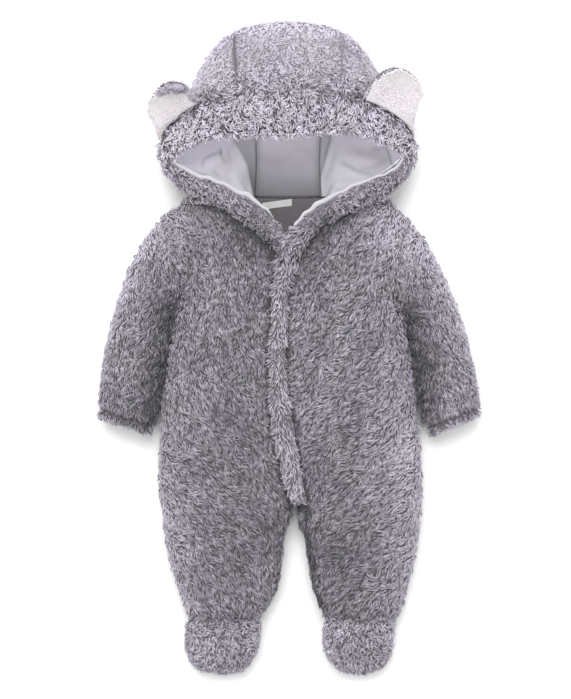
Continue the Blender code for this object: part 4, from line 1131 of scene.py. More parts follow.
def body_place(side, face, q):
    sign = 1.0 if face == "front" else -1.0
    middle = -1.0 if side == "right" else 1.0

    def place(u, v):
        u, v = np.broadcast_arrays(u, v)
        p = body_point(side, face, u, 2.0 * v, q)
        # the inner depths of the wall meet across the armpit line as its outside does
        step = upper_body(side, face, u, np.full(u.shape, 1e-6), q) - lower_body(side, face, u, np.float64(PIT_Y), q)
        rise = np.clip(2.0 * v - 1, 0, 1)
        p = p - step * np.where(rise > 0, 1 - smooth(rise / 0.4), 0.0)[..., None]
        if face == "front":
            p[..., 2] -= troughs_at(p[..., 0], p[..., 1]) * smooth((p[..., 2] - 22.0) / 14.0)
        p[..., 0] += middle * 0.2 * (u > 0.98)
        if face == "back":
            p[..., 2] = np.maximum(p[..., 2], q)
        return p

    return place


def placket_edges(y):
    rows = np.array(PLACKET)[::-1]
    return hermite(rows[:, 0], rows[:, 1:], np.clip(y, PLACKET[-1][0], PLACKET[0][0]))


def near_line(p, line):
    """Distance in plan from each point to a run of points."""
    a, b = line[:-1, :2], line[1:, :2]
    ab = b - a
    f = np.clip(((p[:, None, :2] - a) * ab).sum(-1) / np.maximum((ab**2).sum(-1), 1e-9), 0, 1)
    return np.linalg.norm(p[:, None, :2] - a - ab * f[..., None], axis=-1).min(1)


# Painted light and shade on the front, as places darker or lighter than the rest of it: centre, reach each way and how
# much.
SHADE_COLUMNS = ("x", "y", "reach_x", "reach_y", "tone")
SHADES = (
    (8.0, -206.0, 22.0, 24.0, -0.10),
    (-12.0, -255.0, 16.0, 60.0, -0.16),
    (24.0, -260.0, 16.0, 60.0, -0.14),
    (-62.0, -60.0, 34.0, 55.0, -0.10),
    (-92.0, -118.0, 26.0, 46.0, -0.09),
    (-40.0, 20.0, 18.0, 80.0, -0.10),
    (34.0, 84.0, 22.0, 40.0, -0.10),
    (80.0, -60.0, 44.0, 20.0, -0.06),
    (96.0, 62.0, 28.0, 46.0, 0.05),
    (-96.0, 70.0, 26.0, 56.0, 0.04),
    (-128.0, -190.0, 34.0, 80.0, 0.07),
    (128.0, -190.0, 34.0, 80.0, 0.06),
    (-70.0, -280.0, 40.0, 30.0, 0.03),
    # the press studs' dimples, as painted shade
    (2.0, 65.4, 5.0, 7.0, -0.50),
    (1.0, -1.8, 5.0, 7.0, -0.50),
    (5.5, -79.8, 5.0, 7.0, -0.50),
    (-160.0, -20.0, 26.0, 70.0, -0.10),
    (-146.0, 150.0, 26.0, 26.0, 0.15),
    (128.0, 156.0, 34.0, 44.0, 0.46),
    (-38.0, 152.0, 40.0, 42.0, -0.16),
    (-88.0, 146.0, 34.0, 50.0, -0.08),
    (26.0, 128.0, 36.0, 38.0, -0.09),
    (-11.0, -150.0, 50.0, 44.0, -0.16),
    (-78.0, -232.0, 32.0, 84.0, -0.15),
    (70.0, -236.0, 34.0, 84.0, -0.19),
    (124.0, -70.0, 18.0, 100.0, 0.16),
    (144.0, -124.0, 16.0, 44.0, 0.24),
    (-134.0, -54.0, 12.0, 30.0, 0.12),
    (-146.0, -92.0, 14.0, 20.0, 0.14),
    (12.0, -146.0, 16.0, 34.0, -0.12),
    (104.0, -245.0, 20.0, 30.0, -0.08),
    (-20.0, -280.0, 10.0, 16.0, -0.10),
)


INSEAM_LINE = ((25.0, -192.0), (20.5, -206.0), (28.5, -249.0), (31.5, -277.0), (38.0, -299.0), (42.0, -306.0))
fine_noise = Ripple(41, 8.0)


def shade_at(p, rows=SHADES):
    tone = np.zeros(len(p))
    for x, y, rx, ry, much in rows:
        tone += much * np.exp(-(((p[:, 0] - x) / rx) ** 2) - ((p[:, 1] - y) / ry) ** 2)
    return tone


for side in ("right", "left"):
    middle_y = np.array([0.0, -60.0, 12.0])
    for face in ("front", "back"):
        name = f"{face}_{side}"
        outer, inner = body_place(side, face, SHELL_OUT), body_place(side, face, SHELL_IN)
        us = np.linspace(0, 1, 30)
        vs = np.linspace(0, 1, 78)
        uu, vv = np.meshgrid(us, vs)
        grids = [outer(uu, vv), inner(uu, vv)]
        body = shell(name + "_cloth", *grids, [ground_look, centre_look])
        spacing = PILE_TOP if face == "front" else PILE_UNDER
        u, v = scatter(outer, spacing, 100 + hash_of(name))
        p, n, pu, pv = frame_at(outer, u, v)
        inside = np.stack([p[:, 0] * 0 + (-75.0 if side == "right" else 75.0), p[:, 1], np.full(len(p), SEAM_Z)], -1)
        n = outward(n, p, inside)
        if face == "front":
            edges = placket_edges(p[:, 1])
            covered = (p[:, 0] > edges[:, 0] + 3.0) & (p[:, 0] < edges[:, 1] - 3.0) & (p[:, 1] < 100) & (p[:, 1] > -180)
            p, n, u, v, edges = p[~covered], n[~covered], u[~covered], v[~covered], edges[~covered]
            angle = comb_body(side, p, u)
            outer_side = smooth(1 - u / 0.42)
            legs = smooth((-40 - p[:, 1]) / 120)
            # painted light on the outer sides, more along the legs; painted shade low on the inner legs and in the
            # troughs; shade_at adds the painted light and shade of SHADES
            shift = (0.06 + 0.13 * legs) * outer_side - 0.07 * smooth((-150 - p[:, 1]) / 90) * smooth((u - 0.35) / 0.3) + shade_at(p) - troughs_at(p[:, 0], p[:, 1]) * 0.05
            # painted shadow under the hood's band, deepest towards the middle, and painted shade in the creases beside
            # the placket
            edge_line = band_curve(BAND_EDGE, np.linspace(0.62, 1.0, 24) * (-1 if side == "right" else 1))
            under_band = np.exp(-((np.maximum(near_line(p, edge_line) - 2.0, 0) / 9.0) ** 2))
            beside = np.minimum(np.abs(p[:, 0] - edges[:, 0]), np.abs(p[:, 0] - edges[:, 1]))
            creased = np.exp(-((np.maximum(beside - 2.5, 0) / 3.6) ** 2)) * (p[:, 1] < 100) * (p[:, 1] > -190)
            shift = shift - (0.36 + 0.22 * smooth((1 - np.abs(p[:, 0]) / 60))) * under_band - 0.52 * creased
            corner = smooth(1 - u / 0.12) * smooth((v - 0.86) / 0.06)
            # over the shoulder the pile lies along the edge, towards the neck
            over_edge = smooth((n[:, 1] - 0.55) / 0.25)[:, None] * (p[:, 1:2] > 100)
            comb = plan_way(angle) * (1 - over_edge) + unit(pu[~covered]) * over_edge
            shoulder = smooth((p[:, 1] - 110) / 30) * smooth(1 - u / 0.5)
            if side == "left":
                # painted shade along the lapped edge of the inseam, as a dark, ragged line
                inseam = near_line(p, np.array(INSEAM_LINE)) + 1.3 * fine_noise(p)
                shift = shift - 0.55 * np.exp(-((inseam / 2.4) ** 2))
            # painted light along the edge, which stands out lighter against the sleeves and between the legs
            shift = shift + 0.10 * smooth(1 - u / 0.16)
            # at its sides the pile stands out to the sleeves
            stand = 1 + 0.9 * smooth(1 - u / 0.10) * smooth((p[:, 1] + 120) / 60)
            pile = locks("pile_" + name, p, n, comb, pile_look, 200 + hash_of(name), tone_shift=shift, spread_at=(1 - 0.50 * outer_side) * (1 - 0.45 * shoulder), size_at=(1 - 0.25 * creased - 0.2 * under_band) * (1 - 0.25 * corner) * (1 - 0.25 * over_edge[:, 0]), lift_at=stand * (1 - 0.30 * outer_side * legs) * (1 - 0.42 * shoulder))
        else:
            over_edge = smooth((n[:, 1] - 0.45) / 0.25)[:, None] * (p[:, 1:2] > 100)
            comb = plan_way(np.full(len(p), -90.0)) * (1 - over_edge) + unit(pu) * over_edge
            # painted light along the side edges of the underside
            pile = locks("pile_" + name, p, n, comb, pile_look, 200 + hash_of(name), length=9.5, width=3.3, lift=4.2, tuft=8.0, tone_shift=0.08 * smooth(1 - u / 0.1), size_at=1 - 0.4 * over_edge[:, 0])
        if face == "front":
            # longer pile fills the corner between the shoulder and the hood's band, a little darker as painted shade
            count = 260
            rng = steady(230 + hash_of(name))
            u, v = rng.uniform(0.10, 0.62, count), rng.uniform(0.975, 1.0, count)
            p, n, pu, pv = frame_at(outer, u, v)
            n = unit(n * 0.2 + np.array([0.0, 0.35, 0.9]))
            lean = np.array([0.5 if side == "right" else -0.5, 0.8, 0.0]) + rng.normal(0, 0.3, (count, 3))
            pile = [pile, locks("pile_" + name + "_top", p, n, lean, pile_look, 240 + hash_of(name), length=6.0, lift=4.6, tone_shift=-0.06, tuft=0)]
        finish_fleece(name, body, pile)

# ---------------------------------------------------------------- sleeves
SLEEVE_COMB = {"right": ((0.0, -70), (0.2, -100), (0.45, -112), (0.7, -96), (1.0, -110)), "left": ((0.0, -112), (0.2, -78), (0.45, -74), (0.7, -76), (1.0, -70))}
SLEEVE_TROUGHS = {
    "right": ((-150.0, 70.0, -196.0, 96.0, 7.0, 2.0), (-148.0, 20.0, -190.0, 34.0, 8.0, 1.6), (-160.0, -52.0, -206.0, -40.0, 7.0, 1.4)),
    "left": ((146.0, 66.0, 180.0, 84.0, 7.0, 2.2), (148.0, 12.0, 186.0, 30.0, 8.0, 1.8), (162.0, -50.0, 206.0, -38.0, 7.0, 1.4)),
}
# Painted light and shade on the sleeves, with columns as in SHADES.
SLEEVE_SHADES = {
    "right": ((-154.0, 74.0, 16.0, 26.0, -0.18), (-190.0, 108.0, 16.0, 40.0, 0.30), (-206.0, 44.0, 12.0, 50.0, 0.12), (-156.0, -94.0, 16.0, 12.0, 0.34)),
    "left": ((146.0, 138.0, 30.0, 34.0, 0.40), (168.0, 100.0, 20.0, 30.0, 0.12), (160.0, -92.0, 22.0, 14.0, 0.40), (196.0, 10.0, 20.0, 90.0, 0.14), (196.0, -84.0, 40.0, 16.0, 0.18), (150.0, 60.0, 14.0, 30.0, -0.06)),
}
for side in ("right", "left"):
    name = f"sleeve_{side}"

    def sleeve_place(q):
        def place(u, v):
            p = sleeve_point(side, u % 1.0, 0.017 + 0.983 * v, q)
            p[..., 2] -= troughs_at(p[..., 0], p[..., 1], SLEEVE_TROUGHS[side]) * smooth((p[..., 2] - 26.0) / 12.0)
            return p
        return place

    outer, inner = sleeve_place(SHELL_OUT), sleeve_place(SHELL_IN)
    uu, vv = np.meshgrid(np.linspace(0, 1, 41)[:-1], np.concatenate([np.linspace(0, 0.9, 36), np.linspace(0.905, 1.0, 14)]))
    body = shell(name + "_cloth", outer(uu, vv), inner(uu, vv), [ground_look, centre_look], ring=True)
    piles = []
    for half, lo, hi, spacing in (("top", 0.0, 0.5, PILE_TOP), ("under", 0.5, 1.0, PILE_UNDER)):
        part = lambda u, v: outer(lo + (hi - lo) * u, v)
        u, v = scatter(part, spacing, 300 + hash_of(name + half))
        p, n, pu, pv = frame_at(part, u, v)
        middle = table(SLEEVE[side], v)
        inside = np.stack([(middle[:, 0] + middle[:, 2]) / 2, (middle[:, 1] + middle[:, 3]) / 2, np.full(len(p), SEAM_Z)], -1)
        n = outward(n, p, inside)
        row = np.array(SLEEVE_COMB[side], float)
        angle = hermite(row[:, 0], row[:, 1], v)
        depth = (1 - v) * SLEEVE_LENGTH
        groove = np.exp(-(((depth - HEM_DEPTH) / 3.0) ** 2))
        hem = smooth((v - 0.925) / 0.05)
        above = smooth((depth - HEM_DEPTH) / 1.5) * smooth(1 - (depth - HEM_DEPTH - 7.0) / 4.0)
        size_at = (1 - 0.45 * groove) * (1 - 0.40 * above) * (1 - 0.45 * smooth(1 - depth / 9.0)) * (0.62 + 0.38 * smooth(v / 0.05))
        inner_side = 1 - np.abs(np.where(half == "top", u, u) - 0.5) * 2
        if half == "top":
            outside = smooth(1 - u / 0.48)
            # painted shade on the inner side next to the body and in the hem's groove; painted light on the outer edge,
            # over the shoulder and at the cuff's edge; darker towards the wrist
            shift = -0.44 * smooth((u - 0.46) / 0.42) * smooth((v - 0.10) / 0.2) + 0.28 * outside * (1 - 0.4 * smooth((v - 0.5) / 0.4)) + 0.22 * smooth(1 - u / 0.24) * smooth(1 - (v - 0.5) / 0.5) - 0.46 * groove + 0.10 * smooth(1 - (depth - HEM_DEPTH + 3.0) / 3.0)
            shift = shift - 0.08 * smooth((v - 0.35) / 0.3) + 0.12 * smooth(1 - v / 0.3) * smooth(1 - (u - 0.5) / 0.3)
            shift = shift + shade_at(p, SLEEVE_SHADES[side])
            extra = {"spread_at": (1 - 0.40 * outside) * (1 - 0.3 * smooth(1 - v / 0.25)), "lift_at": (1 - 0.35 * outside * smooth(1 - (v - 0.1) / 0.5)) * (1 + 0.9 * smooth((u - 0.86) / 0.12) * smooth((v - 0.04) / 0.1)) * (0.55 + 0.45 * smooth(v / 0.05))}
        else:
            # painted shade over the underside and in the hem's groove, painted light at its outer edge
            shift = -0.20 - 0.2 * groove + 0.26 * smooth(1 - u / 0.2)
            extra = {"length": 9.5, "width": 3.3, "lift_at": 1 + 0.5 * smooth(1 - u / 0.12)}
        piles.append(locks(f"pile_{name}_{half}", p, n, plan_way(angle), pile_look, 340 + hash_of(name + half), tone_shift=shift, size_at=size_at, **extra))
    # the turned edge of the cuff, between the outside and the inside of the wall
    count = 420
    rng = steady(360 + hash_of(name))
    t = (np.arange(count) + rng.uniform(-0.4, 0.4, count)) / count
    q = rng.uniform(0, 1, count)[:, None]
    ring_p = outer(t % 1.0, np.ones(count)) * (1 - q) + inner(t % 1.0, np.ones(count)) * q
    ring_in = outer(t % 1.0, np.full(count, 0.985)) * (1 - q) + inner(t % 1.0, np.full(count, 0.985)) * q
    n = unit(ring_p - ring_in)
    out_way = unit(sleeve_point(side, t % 1.0, np.ones(count), 0.0) - sleeve_point(side, t % 1.0, np.ones(count), WALL))
    piles.append(locks(f"pile_{name}_edge", ring_p, n, -out_way + rng.normal(0, 0.3, (count, 3)), pile_look, 370 + hash_of(name), length=2.6, lift=0.9, tone_shift=0.0, tuft=0))
    # pile that stands over the seam of the armhole
    count = 620
    rng = steady(380 + hash_of(name))
    t = rng.uniform(0.0, 1.0, count)
    v = rng.uniform(0.0, 0.022, count)
    p, n, pu, pv = frame_at(outer, t, v)
    middle = table(SLEEVE[side], v)
    n = outward(n, p, np.stack([(middle[:, 0] + middle[:, 2]) / 2, (middle[:, 1] + middle[:, 3]) / 2, np.full(count, SEAM_Z)], -1))
    # a little lighter, more on the left sleeve, with painted shade where it meets the body
    piles.append(locks(f"pile_{name}_armhole", p, n, -unit(pv) + rng.normal(0, 0.25, (count, 3)), pile_look, 390 + hash_of(name), length=6.5, lift=3.4, tone_shift=(0.08 if side == "left" else 0.04) - 0.16 * smooth((t - 0.25) / 0.2) * (t < 0.5)))
    finish_fleece(name, body, piles)

# ---------------------------------------------------------------- feet
for side in ("right", "left"):
    for face, name in (("top", f"foot_top_{side}"), ("sole", f"foot_sole_{side}")):
        def foot_place(q):
            return lambda u, v: foot_point(side, face, u, v, q)

        outer, inner = foot_place(SHELL_OUT), foot_place(SHELL_IN)
        uu, vv = np.meshgrid(np.linspace(0, 1, 24), np.linspace(0, 1, 22))
        body = shell(name + "_cloth", outer(uu, vv), inner(uu, vv), [ground_look, centre_look])
        spacing = PILE_TOP if face == "top" else PILE_UNDER
        u, v = scatter(outer, spacing, 400 + hash_of(name), cells=40)
        p, n, pu, pv = frame_at(outer, u, v)
        inside = np.array([FOOT[side][2][1] / 2 + FOOT[side][2][2] / 2, -350.0, SEAM_Z])
        n = outward(n, p, inside)
        out_angle = np.degrees(np.arctan2(p[:, 1] + 296.0, p[:, 0] - inside[0]))
        down = -90.0 + (0.35 * (u - 0.5) * 90 * (1 if side == "right" else 1))
        way = plan_way(down) * 1.0 + plan_way(out_angle) * 0.9
        seam = np.exp(-((v / 0.06) ** 2))
        middle_line = np.exp(-(((u - (0.5 if side == "right" else 0.52)) / 0.035) ** 2)) * smooth((v - 0.15) / 0.2)
        extra = {} if face == "top" else {"length": 9.5, "width": 3.3}
        # darker along the ankle seam and down the middle; painted light towards the toe and the sides
        shift = -0.03 - 0.26 * seam - 0.05 * middle_line + 0.08 * smooth((v - 0.6) / 0.3) + 0.06 * smooth(1 - u / 0.3) + 0.06 * smooth((u - 0.7) / 0.3)
        pile = locks("pile_" + name, p, n, way, foot_look, 440 + hash_of(name), tone_shift=shift, size_at=(1 - 0.3 * seam - 0.15 * middle_line) * (1 - 0.30 * smooth((v - 0.72) / 0.2)), spread_at=0.8, wild=0.5, length=8.0 if face == "top" else 9.5, width=1.9 if face == "top" else 3.3)
        finish_fleece(name, body, pile)

# ---------------------------------------------------------------- hood
def hood_stitches():
    """Stitches that show across the seam between the crown's right side and its middle, as short bars of thread."""
    bars = []
    for side_t, steps in ((-0.2, np.linspace(0.35, 2.45, 46)),):
        rng = steady(560 + len(steps))
        for k in steps:
            at = hood_surface(np.array([side_t]), np.array([k]))[0] * 1.0
            n = -hood_slope(np.array([side_t]), np.array([k]))[0]
            n = n if np.dot(n, at - np.array([HOOD_X, 285.0, 30.0])) > 0 else -n
            over = unit(hood_surface(np.array([side_t + 0.01]), np.array([k]))[0] - hood_surface(np.array([side_t - 0.01]), np.array([k]))[0])
            bars.append((at - n * 0.9, over, n, rng.uniform(1.3, 1.9), rng.uniform(0.30, 0.40)))
            ahead = hood_surface(np.array([side_t]), np.array([k + 0.04]))[0] - at
            bars.append((at - n * 1.1 + ahead / 2, unit(ahead), n, np.linalg.norm(ahead) * 0.62, 0.42))
    points, faces = [], []
    for at, over, n, half, thick in bars:
        along = np.cross(n, over)
        start = len(points) * 8
        box = [at + over * (sx * half) + along * (sy * thick) + n * (sz * thick + 0.5) for sz in (-1, 1) for sx, sy in ((-1, -1), (1, -1), (1, 1), (-1, 1))]
        points.append(box)
        for a, b, c, d in ((3, 2, 1, 0), (4, 5, 6, 7), (0, 1, 5, 4), (1, 2, 6, 5), (2, 3, 7, 6), (3, 0, 4, 7)):
            faces.append((start + a, start + b, start + c, start + d))
    pts, fcs = np.array(points).reshape(-1, 3), np.array(faces)
    q4 = pts[fcs]
    if (np.einsum("ij,ij->i", np.cross(q4[:, 0], q4[:, 1]), q4[:, 2]) + np.einsum("ij,ij->i", np.cross(q4[:, 0], q4[:, 2]), q4[:, 3])).sum() < 0:
        fcs = fcs[:, ::-1]
    return put("hood_stitches", pts, fcs, [thread_look], smooth_faces=False)


# Painted light and shade on the crown, with columns as in SHADES.
HOOD_SHADES = ((-5.0, 386.0, 90.0, 15.0, 0.10), (-95.0, 316.0, 50.0, 16.0, 0.09), (66.0, 318.0, 18.0, 12.0, 0.10), (48.0, 306.0, 26.0, 14.0, 0.12), (-112.0, 298.0, 22.0, 16.0, 0.12), (84.0, 338.0, 12.0, 12.0, -0.08))
for name, t0, t1 in (("hood_side_right", -1.0, -0.2), ("hood_middle", -0.2, 0.2), ("hood_side_left", 0.2, 1.0)):
    def hood_place(q, k0=0.05, k1=5.0):
        def place(u, v):
            p = hood_point(t0 + (t1 - t0) * u, k0 + (k1 - k0) * v, q)
            if q > 0:
                p[..., 2] = np.maximum(p[..., 2], q * 0.8)
            return p
        return place

    outer, inner = hood_place(HOOD_SHELL[0]), hood_place(HOOD_SHELL[1])
    uu, vv = np.meshgrid(np.linspace(0, 1, 26 if "side" in name else 20), np.linspace(0, 1, 62))
    body = shell(name + "_cloth", outer(uu, vv), inner(uu, vv), [hood_ground, centre_look])
    piles = []
    for half, k0, k1, spacing in (("top", 0.05, 3.0, PILE_TOP), ("under", 3.0, 5.0, PILE_UNDER)):
        part = hood_place(HOOD_SHELL[0], k0, k1)
        u, v = scatter(part, spacing, 500 + hash_of(name + half))
        t, k = t0 + (t1 - t0) * u, k0 + (k1 - k0) * v
        p = part(u, v)
        n = -hood_slope(t, k)
        away = p - np.array([HOOD_X, 285.0, 30.0])
        n = n * np.where(np.einsum("ij,ij->i", n, away) < 0, -1.0, 1.0)[:, None]
        if half == "top":
            # short curls over the crown, longer and wilder towards the band
            near_band = smooth(1 - (k - 0.1) / 1.7)
            groove = smooth(1 - k / 0.30)
            way = plan_way(-90.0 + swirl_a(p) * (14 + 26 * near_band) * (1 - groove) + 30 * np.sign(t) * smooth(np.abs(t) / 0.5))
            seam = np.exp(-((np.minimum(np.abs(t - t0) if t0 > -1 else 9.0, np.abs(t - t1) if t1 < 1 else 9.0) / (0.008 if t0 < 0 and "left" not in name else 0.013)) ** 2)) * smooth((k - 0.12) / 0.3)
            size_at = (0.70 + 0.36 * near_band + 0.35 * groove) * (1 - 0.62 * seam)
            crease = np.exp(-(((p[:, 0] + 86) / 16) ** 2) - ((p[:, 1] - 299) / 8) ** 2) + np.exp(-(((p[:, 0] - 72) / 14) ** 2) - ((p[:, 1] - 299) / 8) ** 2)
            lower_side = smooth((np.abs(t) - 0.5) / 0.35)
            # painted light rising towards the top of the crown and over its fold; painted shade in two creases by the
            # band, on the lower sides and a little near the band; the seams are darker
            shift = shade_at(p, HOOD_SHADES) + 0.09 * smooth((k - 0.3) / 1.0) + 0.24 * smooth((k - 2.1) / 0.6) - 0.34 * seam - 0.02 * near_band - 0.34 * crease - 0.14 * lower_side
            piles.append(locks(f"pile_{name}_{half}", p, n, way, hood_pile_look, 540 + hash_of(name + half), tone_shift=shift, spread_at=0.42 + 0.78 * near_band, size_at=size_at, wild=0.30 + 0.45 * near_band - 0.35 * groove, length=9.6, lift=3.9, lift_at=0.55 + 0.45 * near_band + 0.5 * groove, width=2.0, curl=1.0 + 0.8 * near_band, tuft=6.5, pinch=0.7))
        else:
            way = plan_way(np.full(len(p), -90.0))
            # painted shade over the hood's underside, lighter towards its fold
            piles.append(locks(f"pile_{name}_{half}", p, n, way, hood_pile_look, 540 + hash_of(name + half), tone_shift=-0.16 + 0.22 * smooth(1 - (k - 3.0) / 0.5), length=8.5, width=3.3, lift=3.6, tuft=8.0))
    if name == "hood_middle":
        piles.append(hood_stitches())
    finish_fleece(name, body, piles)

# the edge band: long curls that lie from its outer edge to its inner edge
def band_place(q):
    return lambda u, v: band_point(-1 + 2 * u, v, q)


outer, inner = band_place(BAND_SHELL[0]), band_place(BAND_SHELL[1])
uu, vv = np.meshgrid(np.linspace(0, 1, 150), np.linspace(0, 1, 9))
body = shell("hood_band_cloth", outer(uu, vv), inner(uu, vv), [ground_look, centre_look])
u, v = scatter(outer, 2.1, 600, cells=160)
p = outer(u, v)
t = -1 + 2 * u
n = band_normal(t)
n = n * np.where(n[:, 2:3] < 0, -1.0, 1.0)
to_rim = unit(band_curve(BAND_RIM, t) - band_curve(BAND_EDGE, t))
along_band = unit(band_curve(BAND_RIM, np.clip(t + 0.01, -1, 1)) - band_curve(BAND_RIM, np.clip(t - 0.01, -1, 1)))
down = np.stack([0 * t, -np.ones_like(t), 0 * t], -1)
lower = smooth((np.abs(t) - 0.36) / 0.12)[:, None]
way = to_rim * (1 - lower) + (down * 0.7 - to_rim * 0.35 + along_band * np.sign(t)[:, None] * 0.4) * lower
low_part = smooth((np.abs(t) - 0.42) / 0.2)
# painted light over the band, most on the outer edge at its lower corners; painted shade on its lower parts, towards
# its ends at the neck and a little along the upper outer edge; the curl noise is random
band_shift = 0.12 + 0.16 * smooth((v - 0.6) / 0.4) * np.exp(-(((np.abs(t) - 0.56) / 0.10) ** 2)) - 0.22 * smooth((np.abs(t) - 0.78) / 0.1) + 0.06 * curl_noise(p) - 0.30 * low_part * (0.7 + 0.3 * v) - 0.06 * smooth((v - 0.75) / 0.25) * (1 - low_part)
piles = [locks("pile_hood_band", p, n, way, edge_look, 610, length=8.6, width=2.1, lift=3.9, rings=2, wild=0.34, curl=2.3, tuft=8.5, pinch=0.75, spread_tone=0.16, spread_at=1 - 0.45 * low_part, tone_shift=band_shift, size_at=1 - 0.26 * low_part)]
# curls that roll over its inner and outer edges
for label, f, spacing_mm, seed in (("rim", 0.0, 0.9, 620), ("seam", 1.0, 1.4, 640)):
    s = np.linspace(-1, 1, 2001)
    line = band_point(s, np.full(s.shape, f), BAND_SHELL[0])
    length = np.concatenate([[0], np.cumsum(np.linalg.norm(np.diff(line, axis=0), axis=1))])
    rng = steady(seed)
    count = int(length[-1] / spacing_mm)
    at = (np.arange(count) + rng.uniform(-0.4, 0.4, count)) * length[-1] / count
    t = np.interp(at, length, s)
    depth = rng.uniform(BAND_SHELL[0] - 0.6, BAND_SHELL[1] - 0.4, count)
    p = band_point(t, np.full(count, f), depth)
    n0 = band_normal(t)
    n0 = n0 * np.where(n0[:, 2:3] < 0, -1.0, 1.0)
    out = unit(band_curve(BAND_RIM, t) - band_curve(BAND_EDGE, t)) * (1 if f == 0.0 else -1)
    n = unit(out * 0.75 + n0 * 0.65)
    way = out * 0.5 - n0 * 0.35 + rng.normal(0, 0.5, (count, 3))
    if f == 1.0:
        keep = np.abs(t) > 0.52
        t, p, n, way = t[keep], p[keep], n[keep], way[keep]
    low_part = smooth((np.abs(t) - 0.42) / 0.2)
    short = 1 - 0.50 * smooth((np.abs(t) - 0.30) / 0.12) if f == 0.0 else 1 - 0.34 * low_part
    # painted light, with painted shade on the lower parts and towards the ends at the neck
    piles.append(locks(f"pile_hood_band_{label}", p, n, way, edge_look, seed + 5, length=6.2, width=2.2, lift=2.9, rings=2, wild=0.4, curl=1.6, tone_shift=0.08 - 0.24 * low_part - 0.12 * smooth((np.abs(t) - 0.80) / 0.1), size_at=short))
finish_fleece("hood_band", body, piles)

